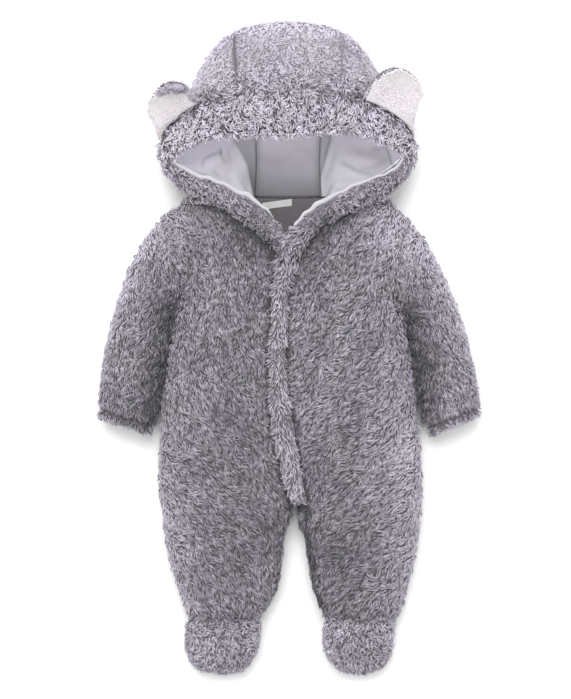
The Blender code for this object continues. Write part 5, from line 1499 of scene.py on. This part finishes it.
# ---------------------------------------------------------------- ears
for side in ("right", "left"):
    name = f"ear_outer_{side}"
    outer = lambda u, v: ear_point(side, u, v * 0.985, -EAR_BACK + 2.6)
    inner = lambda u, v: ear_point(side, u, v * 0.985, -2 * GAP - 0.8)
    uu, vv = np.meshgrid(np.linspace(0, 1, 22), 1 - (1 - np.linspace(0, 1, 20)) ** 1.5)
    body = shell(name + "_cloth", outer(uu, vv), inner(uu, vv), [ground_look])
    u, v = scatter(outer, 2.3, 700 + hash_of(name), cells=40)
    p = outer(u, v)
    front = ear_point(side, np.array([0.5]), np.array([0.6]), 1.0) - ear_point(side, np.array([0.5]), np.array([0.6]), 0.0)
    n = np.repeat(-unit(front), len(p), 0)
    tip_way = unit(np.array(EAR_TIP[side]) - ear_point(side, np.array(0.5), np.array(0.0), 0.0))
    way = np.repeat(tip_way[None], len(p), 0)
    near_rim = smooth((v - 0.55) / 0.3) * np.ones_like(u)
    near_rim = np.maximum(near_rim, np.maximum(smooth(1 - u / 0.2), smooth((u - 0.8) / 0.2)))
    piles = [locks("pile_" + name, p, n, way, pile_look, 710 + hash_of(name), length=6.0, lift=2.8, wild=0.5, size_at=1 - 0.62 * near_rim)]
    # the rim: grey along its upper edge, white where the inside turns out over the rest of it
    s = np.linspace(0, 1, 1201)
    rim_b = np.where(s < 0.36, s / 0.36 * 0.93, np.where(s > 0.64, (1 - s) / 0.36 * 0.93, 0.93 + 0.05 * np.sin(math.pi * (s - 0.36) / 0.28)))
    rim_a = np.where(s < 0.36, 0.0, np.where(s > 0.64, 1.0, (s - 0.36) / 0.28))
    line = ear_point(side, rim_a, rim_b, -2.5)
    length = np.concatenate([[0], np.cumsum(np.linalg.norm(np.diff(line, axis=0), axis=1))])
    turn_over = 0.40

    def rim_locks(label, s0, s1, per_mm, q0, q1, look, seed, inset=1.0, facing=0.35, **looks):
        rng = steady(seed)
        a_mm, b_mm = np.interp([s0, s1], s, length)
        count = int((b_mm - a_mm) * per_mm)
        at = rng.uniform(a_mm, b_mm, count)
        a, b = np.interp(at, length, rim_a), np.interp(at, length, rim_b)
        p = ear_point(side, a, b, rng.uniform(q0, q1, count))
        middle = ear_point(side, np.full(count, 0.5), np.full(count, 0.35), -2.0)
        out = unit(p - middle)
        if facing == 1.0:
            reach = np.interp(at / length[-1], (0.0, 0.10, 0.28, 0.38, 0.46), (5.0, 6.5, 10.0, 8.0, 3.0))[:, None]
            p = p - out * (rng.uniform(0.0, 1.0, (count, 1)) * (reach + 1.4) * inset - 1.4)
        else:
            p = p - out * 2.4
        n = unit(out * (0.8 if facing < 1 else 0.2) + unit(front) * facing)
        way = out * 0.15 + unit(front) * rng.uniform(-0.9, 0.6, (count, 1)) + rng.normal(0, 0.35, (count, 3))
        if facing == 1.0:
            ahead = np.interp(at + 2.0, length, np.arange(len(s))).astype(int)
            way = unit(line[np.minimum(ahead + 1, len(s) - 1)] - line[np.maximum(ahead - 6, 0)]) - out * rng.uniform(0.0, 0.7, (count, 1))
        return locks(label, p, n, way, look, seed + 5, **looks)

    piles.append(rim_locks("pile_" + name + "_rim", 0.0, turn_over + 0.05, 5.5, -4.0, -0.2, hood_pile_look, 720 + hash_of(name), length=3.6, width=2.0, lift=1.3, wild=0.5, tone_shift=-0.02 if side == "right" else 0.14, tuft=0))
    if side == "right":
        piles.append(rim_locks("pile_" + name + "_fold", 0.03, 0.46, 15.0, EAR_FRONT - 1.2, EAR_FRONT + 0.3, hood_pile_look, 730 + hash_of(name), inset=1.0, facing=1.0, length=5.2, width=2.1, lift=2.0, wild=0.45, tone_shift=0.04, spread_tone=0.4, tuft=4.0))
    finish_fleece(name, body, piles)

    name = f"ear_inner_{side}"
    low, high = 0.06, 0.995
    outer = lambda u, v: ear_point(side, low + (high - low) * u, 0.03 + 0.91 * v, EAR_FRONT - 1.2)
    inner = lambda u, v: ear_point(side, low + (high - low) * u, 0.03 + 0.91 * v, GAP)
    uu, vv = np.meshgrid(np.linspace(0, 1, 26), 1 - (1 - np.linspace(0, 1, 22)) ** 1.4)
    body = shell(name + "_cloth", outer(uu, vv), inner(uu, vv), [white_ground])
    u, v = scatter(outer, 1.45, 750 + hash_of(name), cells=40)
    p = outer(u, v)
    if side == "right":
        p = p[near_line(p, line[(s > 0.05) & (s < 0.43)][::24]) > 7.0]
    n = np.repeat(unit(front), len(p), 0)
    way = np.repeat(tip_way[None], len(p), 0) * 0.8 + np.array([0.0, -0.4, 0.0])
    soft = {"tuft": 0, "length": 5.2, "width": 2.8, "lift": 0.55, "wild": 0.30, "curl": 0.3, "spread_tone": 0.05}
    pile = [
        locks("pile_" + name, p, n, way, white_look, 760 + hash_of(name), **soft),
        rim_locks("pile_" + name + "_rim", turn_over, 0.985, 5.0, -5.2, 2.2, white_look, 770 + hash_of(name), length=2.6, width=2.3, lift=0.9, wild=0.5, spread_tone=0.05, tuft=0),
    ]
    finish_fleece(name, body, pile)

# ---------------------------------------------------------------- placket
ys = np.linspace(PLACKET[0][0] + 1.0, PLACKET[-1][0], 110)
across_strip = np.linspace(0, 1, 9)
edges = placket_edges(ys)
px = edges[:, :1] + (edges[:, 1:] - edges[:, :1]) * across_strip
strip_under = front_at(px, np.repeat(ys[:, None], len(across_strip), 1))
strip_under[..., 2] += GAP + 0.3
# press studs pull its edge down: where each is, its radius and depth
DIMPLES = ((0.94, 65.4, 7.0, 3.6), (0.92, -1.8, 7.5, 3.2), (0.95, -79.8, 7.0, 3.0))


def dimples_at(s, y):
    depth = np.zeros(np.shape(s))
    for at, level, radius, deep in DIMPLES:
        depth += deep * np.exp(-((((s - at) * 22.0) ** 2 + (y - level) ** 2) / radius**2))
    return depth


def placket_place(u, v, proud=-2.6):
    """A point of the placket's ground cloth."""
    at = np.clip(v, 0, 1) * (len(ys) - 1)
    i = np.minimum(at.astype(int), len(ys) - 2)
    f = (at - i)[..., None]
    s = np.clip(u, 0, 1) * (len(across_strip) - 1)
    j = np.minimum(s.astype(int), len(across_strip) - 2)
    g = (s - j)[..., None]
    p = (strip_under[i, j] * (1 - f) + strip_under[i + 1, j] * f) * (1 - g) + (strip_under[i, j + 1] * (1 - f) + strip_under[i + 1, j + 1] * f) * g
    p = p.copy()
    crown = 1.2 + (PLACKET_RISE - 1.2) * np.maximum(np.sin(math.pi * np.clip(u, 0, 1)), 0) ** 0.7
    p[..., 2] += np.maximum(crown + proud, 0.9) - dimples_at(u, p[..., 1]) * 0.45
    return p


uu, vv = np.meshgrid(np.linspace(0, 1, 11), np.linspace(0, 1, 110))
over = placket_place(uu, vv)
under = placket_place(uu, vv, -9.0)
under[..., 2] = over[..., 2] - np.minimum(1.6, np.maximum(over[..., 2] - placket_place(uu, vv, -9.0)[..., 2] + 0.8, 0.7))
placket_body = shell("placket_cloth", over, under, [ground_look])
u, v = scatter(placket_place, 2.1, 800, cells=90)
p, n, pu, pv = frame_at(placket_place, u, v)
n = n * np.where(n[:, 2:3] < 0, -1.0, 1.0)
dip = dimples_at(u, p[:, 1])
lean = np.where(u < 0.5, -1.0, 1.0) * np.abs(2 * u - 1)
way = plan_way(-90.0 + lean * 34.0)
n = unit(n + np.stack([lean * 0.16, 0 * lean, 0 * lean], -1))
rims = smooth((np.abs(2 * u - 1) - 0.70) / 0.30)
# painted light over the placket, with painted shade in the press studs' dimples and along its edges
placket_pile = locks("pile_placket", p, n, way, placket_look, 810, length=8.0, width=1.9, lift=3.0, rings=2, wild=0.15, curl=0.45, tuft=4.0, pinch=0.4, tone_shift=0.08 - dip * 0.14 - 0.24 * rims, spread_tone=0.12, size_at=(1 - 0.12 * dip - 0.32 * rims) * (1 - 0.5 * smooth((v - 0.955) / 0.03)))

# The left end of the band lies over the right one and runs on into the placket.
LAP_COLUMNS = ("y", "x_right_edge", "x_left_edge")
LAP = ((99.0, -14.5, 8.0), (112.0, -15.5, 13.0), (124.0, -12.0, 19.0), (136.0, -4.5, 27.0), (147.0, 5.0, 35.0))


def lap_place(u, v):
    rows = np.array(LAP)
    y = rows[0, 0] + (rows[-1, 0] - rows[0, 0]) * v
    found = hermite(rows[:, 0], rows[:, 1:], y)
    x = found[..., 0] + (found[..., 1] - found[..., 0]) * u
    return np.stack([x, y, np.zeros_like(x)], -1)


ends = np.concatenate([np.linspace(-1.0, -0.84, 40), np.linspace(0.80, 1.0, 60)])
sample_t, sample_f = np.meshgrid(ends, np.linspace(0, 1, 24))
under_lap = np.concatenate([band_point(sample_t, sample_f, 0.0).reshape(-1, 3), placket_place(*np.meshgrid(np.linspace(0, 1, 12), np.linspace(0, 0.12, 12)), 0.0).reshape(-1, 3)])
finder = KDTree(len(under_lap))
for i, point in enumerate(under_lap):
    finder.insert((point[0], point[1], 0.0), i)
finder.balance()
u, v = scatter(lap_place, 2.0, 830, cells=40)
p = lap_place(u, v)
for i, point in enumerate(p):
    near = finder.find_n((point[0], point[1], 0.0), 4)
    p[i, 2] = sum(under_lap[j][2] for _, j, _ in near) / 4
p[:, 2] += 0.4 - 2.4 * np.abs(2 * u - 1) ** 3
lean = 2 * u - 1
down = lap_place(u, np.clip(v - 0.1, 0, 1)) - lap_place(u, np.clip(v + 0.1, 0, 1))
n = unit(np.stack([lean * 0.45, 0 * lean, np.ones_like(lean)], -1))
rims = smooth((np.abs(lean) - 0.72) / 0.28)
# painted shade along its edges
lap = locks("pile_placket_top", p, n, unit(down) + np.stack([lean * 0.25, 0 * lean, 0 * lean], -1), placket_look, 840, length=8.0, width=1.9, lift=3.0, rings=2, wild=0.18, curl=0.45, tuft=4.0, pinch=0.4, tone_shift=-0.03 - 0.20 * rims, spread_tone=0.12, size_at=1 - 0.3 * rims)
finish_fleece("placket", placket_body, [placket_pile, lap])

# ---------------------------------------------------------------- hood lining
# Creases of the linings, placed in plan: half width, height (a ridge is positive, a trough
# negative), how much lighter or darker it is, and the points it runs through.
# The shade column is painted: shade in the troughs, light on the ridges.
FOLD_COLUMNS = ("half_width", "height", "shade", "points")
LINING_FOLDS = {
    "hood_lining_right": (
        (2.6, -2.0, -0.20, ((-83.4, 238.0), (-95.4, 234.6), (-103.8, 229.8), (-106.2, 220.2))),
        (3.4, 1.5, 0.10, ((-82.0, 230.0), (-92.0, 226.5), (-98.0, 217.0))),
        (2.2, -1.6, -0.22, ((-83.4, 243.0), (-82.5, 234.0), (-78.0, 226.0))),
        (3.6, 1.3, 0.08, ((-119.4, 229.8), (-112.0, 236.0), (-104.4, 242.4))),
        (2.6, -1.3, -0.12, ((-122.0, 236.5), (-113.0, 243.0))),
        (1.9, -1.5, -0.20, ((-138.0, 225.6), (-127.8, 219.4), (-117.0, 213.6), (-101.4, 208.6), (-84.0, 198.0), (-66.0, 187.0))),
        (7.0, 1.6, 0.04, ((-78.0, 214.0), (-66.0, 206.0), (-57.0, 192.0))),
        (5.0, -1.0, -0.06, ((-70.0, 224.0), (-76.0, 206.0), (-68.0, 190.0))),
        (3.0, -1.2, -0.10, ((-66.0, 252.0), (-74.0, 240.0), (-73.0, 226.0))),
        (2.0, -0.9, -0.10, ((-92.0, 214.0), (-84.0, 206.0))),
        (2.6, 0.9, 0.05, ((-110.0, 224.0), (-117.0, 219.0))),
    ),
    "hood_lining_middle": (
        (3.0, -0.8, -0.06, ((-36.0, 232.0), (-20.0, 228.0), (2.0, 230.0))),
        (4.0, 0.7, 0.03, ((-6.0, 212.0), (14.0, 208.0), (30.0, 211.0))),
        (3.0, -0.7, -0.05, ((8.0, 244.0), (24.0, 238.0), (34.0, 226.0))),
    ),
    "hood_lining_left": (
        (3.0, -1.6, -0.16, ((62.0, 226.0), (72.0, 220.5), (84.0, 214.0), (99.0, 209.4))),
        (4.0, 1.4, 0.08, ((66.0, 216.0), (80.0, 209.0), (92.0, 203.0))),
        (3.0, -1.0, -0.09, ((56.0, 238.0), (52.0, 222.0), (44.0, 204.0))),
        (2.0, -2.2, -0.26, ((112.0, 246.0), (118.6, 241.6), (121.8, 233.4), (123.8, 221.4), (128.6, 213.4))),
        (4.2, 2.0, 0.12, ((126.0, 240.0), (128.5, 230.0), (131.0, 220.0))),
        (3.0, 1.6, 0.12, ((104.0, 249.0), (117.0, 245.6))),
        (2.0, -1.4, -0.16, ((100.0, 243.0), (110.0, 241.5))),
        (5.0, -1.2, -0.08, ((74.0, 240.0), (90.0, 236.0), (108.0, 234.0))),
        (5.0, 1.2, 0.05, ((64.0, 232.0), (84.0, 228.0), (104.0, 224.0))),
        (2.4, -1.3, -0.16, ((131.0, 212.0), (96.0, 194.6), (72.6, 181.8), (50.0, 171.5))),
        (3.0, -1.0, -0.10, ((88.0, 218.0), (104.0, 220.0), (115.0, 228.0))),
        (2.4, -0.9, -0.08, ((50.0, 196.0), (62.0, 190.0), (70.0, 192.0))),
    ),
}
# The puffed edge of the right lining, which stands out over the strip beside the middle panel.
PUFFED_EDGE = ((-28.2, 160.2), (-39.0, 167.4), (-43.8, 179.4), (-47.6, 195.0), (-49.8, 205.8), (-53.4, 223.8), (-59.4, 235.8), (-69.0, 251.4))
# Painted shade on the smooth linings, from the neck seam up to the band, by y: deep near the neck seam, lifting towards
# the band.
SHADE_BY_Y = {
    "side": ((150.0, 0.66), (185.0, 0.62), (203.0, 0.64), (215.0, 0.72), (227.0, 0.86), (239.0, 1.02), (252.0, 1.08), (300.0, 1.0)),
    "middle": ((184.0, 0.30), (191.4, 0.36), (203.4, 0.49), (221.4, 0.82), (239.4, 1.28), (251.4, 1.52), (300.0, 1.5)),
}


def creases_at(p, rows):
    height, shade = np.zeros(len(p)), np.zeros(len(p))
    for half, high, tone, points in rows:
        line = np.array(points)
        d = near_line(p, line)
        ends = np.minimum(np.linalg.norm(p[:, :2] - line[0], axis=1), np.linalg.norm(p[:, :2] - line[-1], axis=1))
        fade = smooth((ends + half) / (2.6 * half))
        core = np.exp(-((d / half) ** 2))
        # cloth gathers up beside a crease
        height += 1.5 * high * (core - 0.35 * np.exp(-(((d - 2.1 * half) / half) ** 2))) * fade
        shade += 1.5 * tone * core * fade
    return height, shade


pillow = Ripple(31, 46.0)
fine_fold = Ripple(32, 17.0)
LINING_GRID = {"hood_lining_right": (132, 116), "hood_lining_middle": (56, 80), "hood_lining_left": (132, 116)}
for name, t0, t1 in (("hood_lining_right", -1.0, -0.2), ("hood_lining_middle", -0.2, 0.2), ("hood_lining_left", 0.2, 1.0)):
    nt, nk = LINING_GRID[name]
    tt, kk = np.meshgrid(np.linspace(t0, t1, nt), np.linspace(0, 5, nk))
    face = lining_point(tt, kk, 0.0)
    back = lining_point(tt, kk, -LINING + 1.0)
    into = unit(face - back)
    flat = face.reshape(-1, 3)
    edge = np.minimum(np.abs(tt - t0) if t0 > -1 else np.ones_like(tt), np.abs(tt - t1) if t1 < 1 else np.ones_like(tt))
    puff = smooth(edge / 0.05)
    creases, tones = creases_at(flat, LINING_FOLDS[name])
    seen = smooth((kk - 0.6) / 0.8)
    height = creases.reshape(tt.shape) * seen + 0.5 * pillow(face) + 0.22 * fine_fold(face)
    by_y = np.array(SHADE_BY_Y["middle" if "middle" in name else "side"])
    shade = np.interp(face[..., 1], by_y[:, 0], by_y[:, 1]) * (1 + tones.reshape(tt.shape))
    if name == "hood_lining_right":
        # painted light towards its outer side, along the puffed edge and in one patch; painted shadow over the strip
        # beyond the puffed edge, deepest near the neck, and one patch of painted shade
        shade = shade * 1.05 * (1 + 0.22 * smooth((-96 - face[..., 0]) / 14))
        rim = np.array(PUFFED_EDGE)
        past = face[..., 0] - np.interp(face[..., 1], rim[:, 1], rim[:, 0])
        inside_edge = smooth((past + 1.0) / 4.0) * (face[..., 1] < 256) * (face[..., 1] > 158)
        height = height + 2.2 * np.exp(-(((past + 6.0) / 6.0) ** 2)) - 1.8 * inside_edge
        deep = np.interp(face[..., 1], (180.0, 195.0, 215.0, 235.0, 252.0), (0.24, 0.24, 0.42, 0.56, 0.66))
        shade = shade * (1 - inside_edge * (1 - deep)) * (1 + 0.10 * np.exp(-(((past + 5.0) / 4.0) ** 2)))
        shade = shade * (1 + 0.20 * np.exp(-(((face[..., 0] + 110) / 24) ** 2) - ((face[..., 1] - 228) / 13) ** 2))
        shade = shade * (1 - 0.20 * np.exp(-(((face[..., 0] + 55) / 9) ** 2) - ((face[..., 1] - 207) / 14) ** 2))
    if name == "hood_lining_left":
        # beside the middle panel it turns in under its own edge, which leans outwards as it rises; painted shade
        # darkens the turned-in strip, most along the edge
        leaning = np.interp(face[..., 1], (196.0, 210.0, 254.0), (36.0, 38.5, 51.0))
        strip = smooth((leaning - face[..., 0]) / 2.5) * (face[..., 1] > 196)
        shade = shade * (1 - 0.32 * strip) * (1 - 0.38 * np.exp(-(((face[..., 0] - leaning + 1.0) / 2.2) ** 2)) * (face[..., 1] > 200))
        height = height - 1.2 * strip
        # painted light towards its outer side, and a patch of painted shade
        shade = shade * (1 + 0.22 * smooth((face[..., 0] - 116) / 10))
        shade = shade * (1 - 0.10 * np.exp(-(((face[..., 0] - 94) / 24) ** 2) - ((face[..., 1] - 236) / 10) ** 2))
    if name == "hood_lining_middle":
        shade = shade * (1 - 0.35 * np.exp(-((edge / 0.035) ** 2)))
    else:
        height = height + 1.2
        shade = shade * (1 - 0.55 * np.exp(-((edge / 0.014) ** 2)))
    height = height * puff - 1.4 * (1 - smooth(edge / 0.02))
    height = height * smooth(kk / 0.3) * smooth((5 - kk) / 0.2)
    face = face + into * np.clip(height, -1.9, 4.5)[..., None]
    face[..., 2] = np.maximum(face[..., 2], 10.2)
    back[..., 2] = np.maximum(back[..., 2], 9.2)
    if t0 > -1:
        face[:, 0, 0] += 0.15
        back[:, 0, 0] += 0.15
    if t1 < 1:
        face[:, -1, 0] -= 0.15
        back[:, -1, 0] -= 0.15
    body = shell(name + "_cloth", face, back, [middle_look if "middle" in name else lining_look])
    give(body.data, "shade", "FLOAT", np.clip(np.tile(shade.ravel(), 2), 0.05, 1.6 if "middle" in name else 1.06))
    if name != "hood_lining_middle":
        # its turned edge shows as a light piping inside the lower half of the band
        sign = -1.0 if "right" in name else 1.0
        ts = sign * np.linspace(0.43, 0.955, 150)
        centre_line = band_point(ts, np.zeros(150), 4.4)
        ahead = band_curve(BAND_RIM, ts) - band_curve(BAND_EDGE, ts)
        inward = unit(ahead)
        # at the foot of the neck the right one goes in under the band
        tucked = smooth((centre_line[:, 1] - 152.0) / 14.0) if "right" in name else np.ones(150)
        reach = ((3.4 + 1.1 * fine_fold(centre_line)) * (0.15 + 0.85 * tucked))[:, None]
        centre_line = centre_line + inward * reach
        normal = band_normal(ts)
        normal = normal * np.where(normal[:, 2:3] < 0, -1.0, 1.0)
        radius = (1.9 + 0.45 * pillow(centre_line)) * (0.35 + 0.65 * tucked)
        swell = np.sqrt(np.clip(np.minimum(np.arange(150), 149 - np.arange(150)) / 4.0, 0.02, 1.0))
        rings = []
        for turn in np.linspace(0, 2 * math.pi, 11)[:-1]:
            rings.append(centre_line + (inward * math.cos(turn) * 1.35 + normal * math.sin(turn)) * (radius * swell)[:, None])
        tube = np.stack(rings, 1)
        count = tube.shape[0]
        index = np.arange(count * 10).reshape(count, 10)
        a, b = index[:-1], np.roll(index, -1, 1)[:-1]
        faces = np.stack([a, b, np.roll(index, -1, 1)[1:], index[1:]], -1).reshape(-1, 4)
        ends = []
        for row, flip in ((index[0], True), (index[-1], False)):
            for j in range(1, 9, 2):
                quad = [row[0], row[j], row[j + 1], row[(j + 2) % 10]]
                if quad[3] == row[0]:
                    continue
                ends.append(quad[::-1] if flip else quad)
        faces = np.concatenate([faces, np.array(ends)])
        pts = tube.reshape(-1, 3)
        q4 = pts[faces]
        if (np.einsum("ij,ij->i", np.cross(q4[:, 0], q4[:, 1]), q4[:, 2]) + np.einsum("ij,ij->i", np.cross(q4[:, 0], q4[:, 2]), q4[:, 3])).sum() < 0:
            faces = faces[:, ::-1]
        piping = put(name + "_piping", pts, faces, [piping_look])
        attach(piping, "root")
        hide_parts(name)
    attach(body, "root")
    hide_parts(name)

# ---------------------------------------------------------------- lining of the back, and the label
uu, vv = np.meshgrid(np.linspace(-1, 1, 60), np.linspace(0, 1, 44))
x = HOOD_X + uu * (62.0 - 14.0 * vv)
y = 182.6 - 77.0 * vv
low = np.stack([x, y, np.full_like(x, WALL + GAP)], -1)
top = low + np.array([0.0, 0.0, 1.3])
top[..., 2] += 0.35 * (1 + fine_fold(top)) * smooth(vv / 0.1)
body = shell("back_lining_cloth", top, low, [back_look])
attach(body, "root")
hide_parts("back_lining")

w, h, thick = LABEL_SIZE
uu, vv = np.meshgrid(np.linspace(-0.5, 0.5, 40), np.linspace(-0.5, 0.5, 12))
x, y = LABEL_PLACE[0] + uu * w, LABEL_PLACE[1] + vv * h + uu * 5.0
low = np.stack([x, y, np.full_like(x, WALL + 2 * GAP + 1.6)], -1)
low[..., 2] += 0.5 * np.cos(uu * 7.0)
top = low + np.array([0.0, 0.0, 0.45])
label = shell("label_cloth", top, low, [label_look])
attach(label, "root")
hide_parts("label")

# ---------------------------------------------------------------- floor, light and camera
floor = put("floor", np.array([(-6000, -6000, -0.3), (6000, -6000, -0.3), (6000, 6000, -0.3), (-6000, 6000, -0.3)]), np.array([[0, 1, 2, 3]]), [material("paper_floor", (0.97, 0.97, 0.97), 0.9)], smooth_faces=False)

scene = bpy.context.scene
scene.view_settings.view_transform = "Standard"
world = bpy.data.worlds.new("studio")
scene.world = world
world.use_nodes = True
world.node_tree.nodes["Background"].inputs["Color"].default_value = (1.0, 1.0, 1.0, 1)
world.node_tree.nodes["Background"].inputs["Strength"].default_value = 0.95


def sun(name, strength, angle, toward):
    """A broad, even studio light that shines along toward."""
    data = bpy.data.lights.new(name, "SUN")
    data.energy = strength
    data.angle = math.radians(angle)
    lamp = bpy.data.objects.new(name, data)
    lamp.rotation_euler = Vector(toward).to_track_quat("-Z", "Y").to_euler()
    scene.collection.objects.link(lamp)


sun("softbox_top", 1.9, 40.0, (0.08, -0.52, -0.85))

VIEW_HEIGHT, VIEW_FROM, VIEW_LEVEL = 0.8388, 2.8, 0.034
camera = bpy.data.objects.new("camera", bpy.data.cameras.new("camera"))
camera.data.sensor_width = 36.0
camera.data.lens = 36.0 * (VIEW_FROM - VIEW_LEVEL) / VIEW_HEIGHT
camera.location = (-0.0048, 0.0, VIEW_FROM)
camera.rotation_euler = (0.0, 0.0, 0.0)
scene.collection.objects.link(camera)
scene.camera = camera
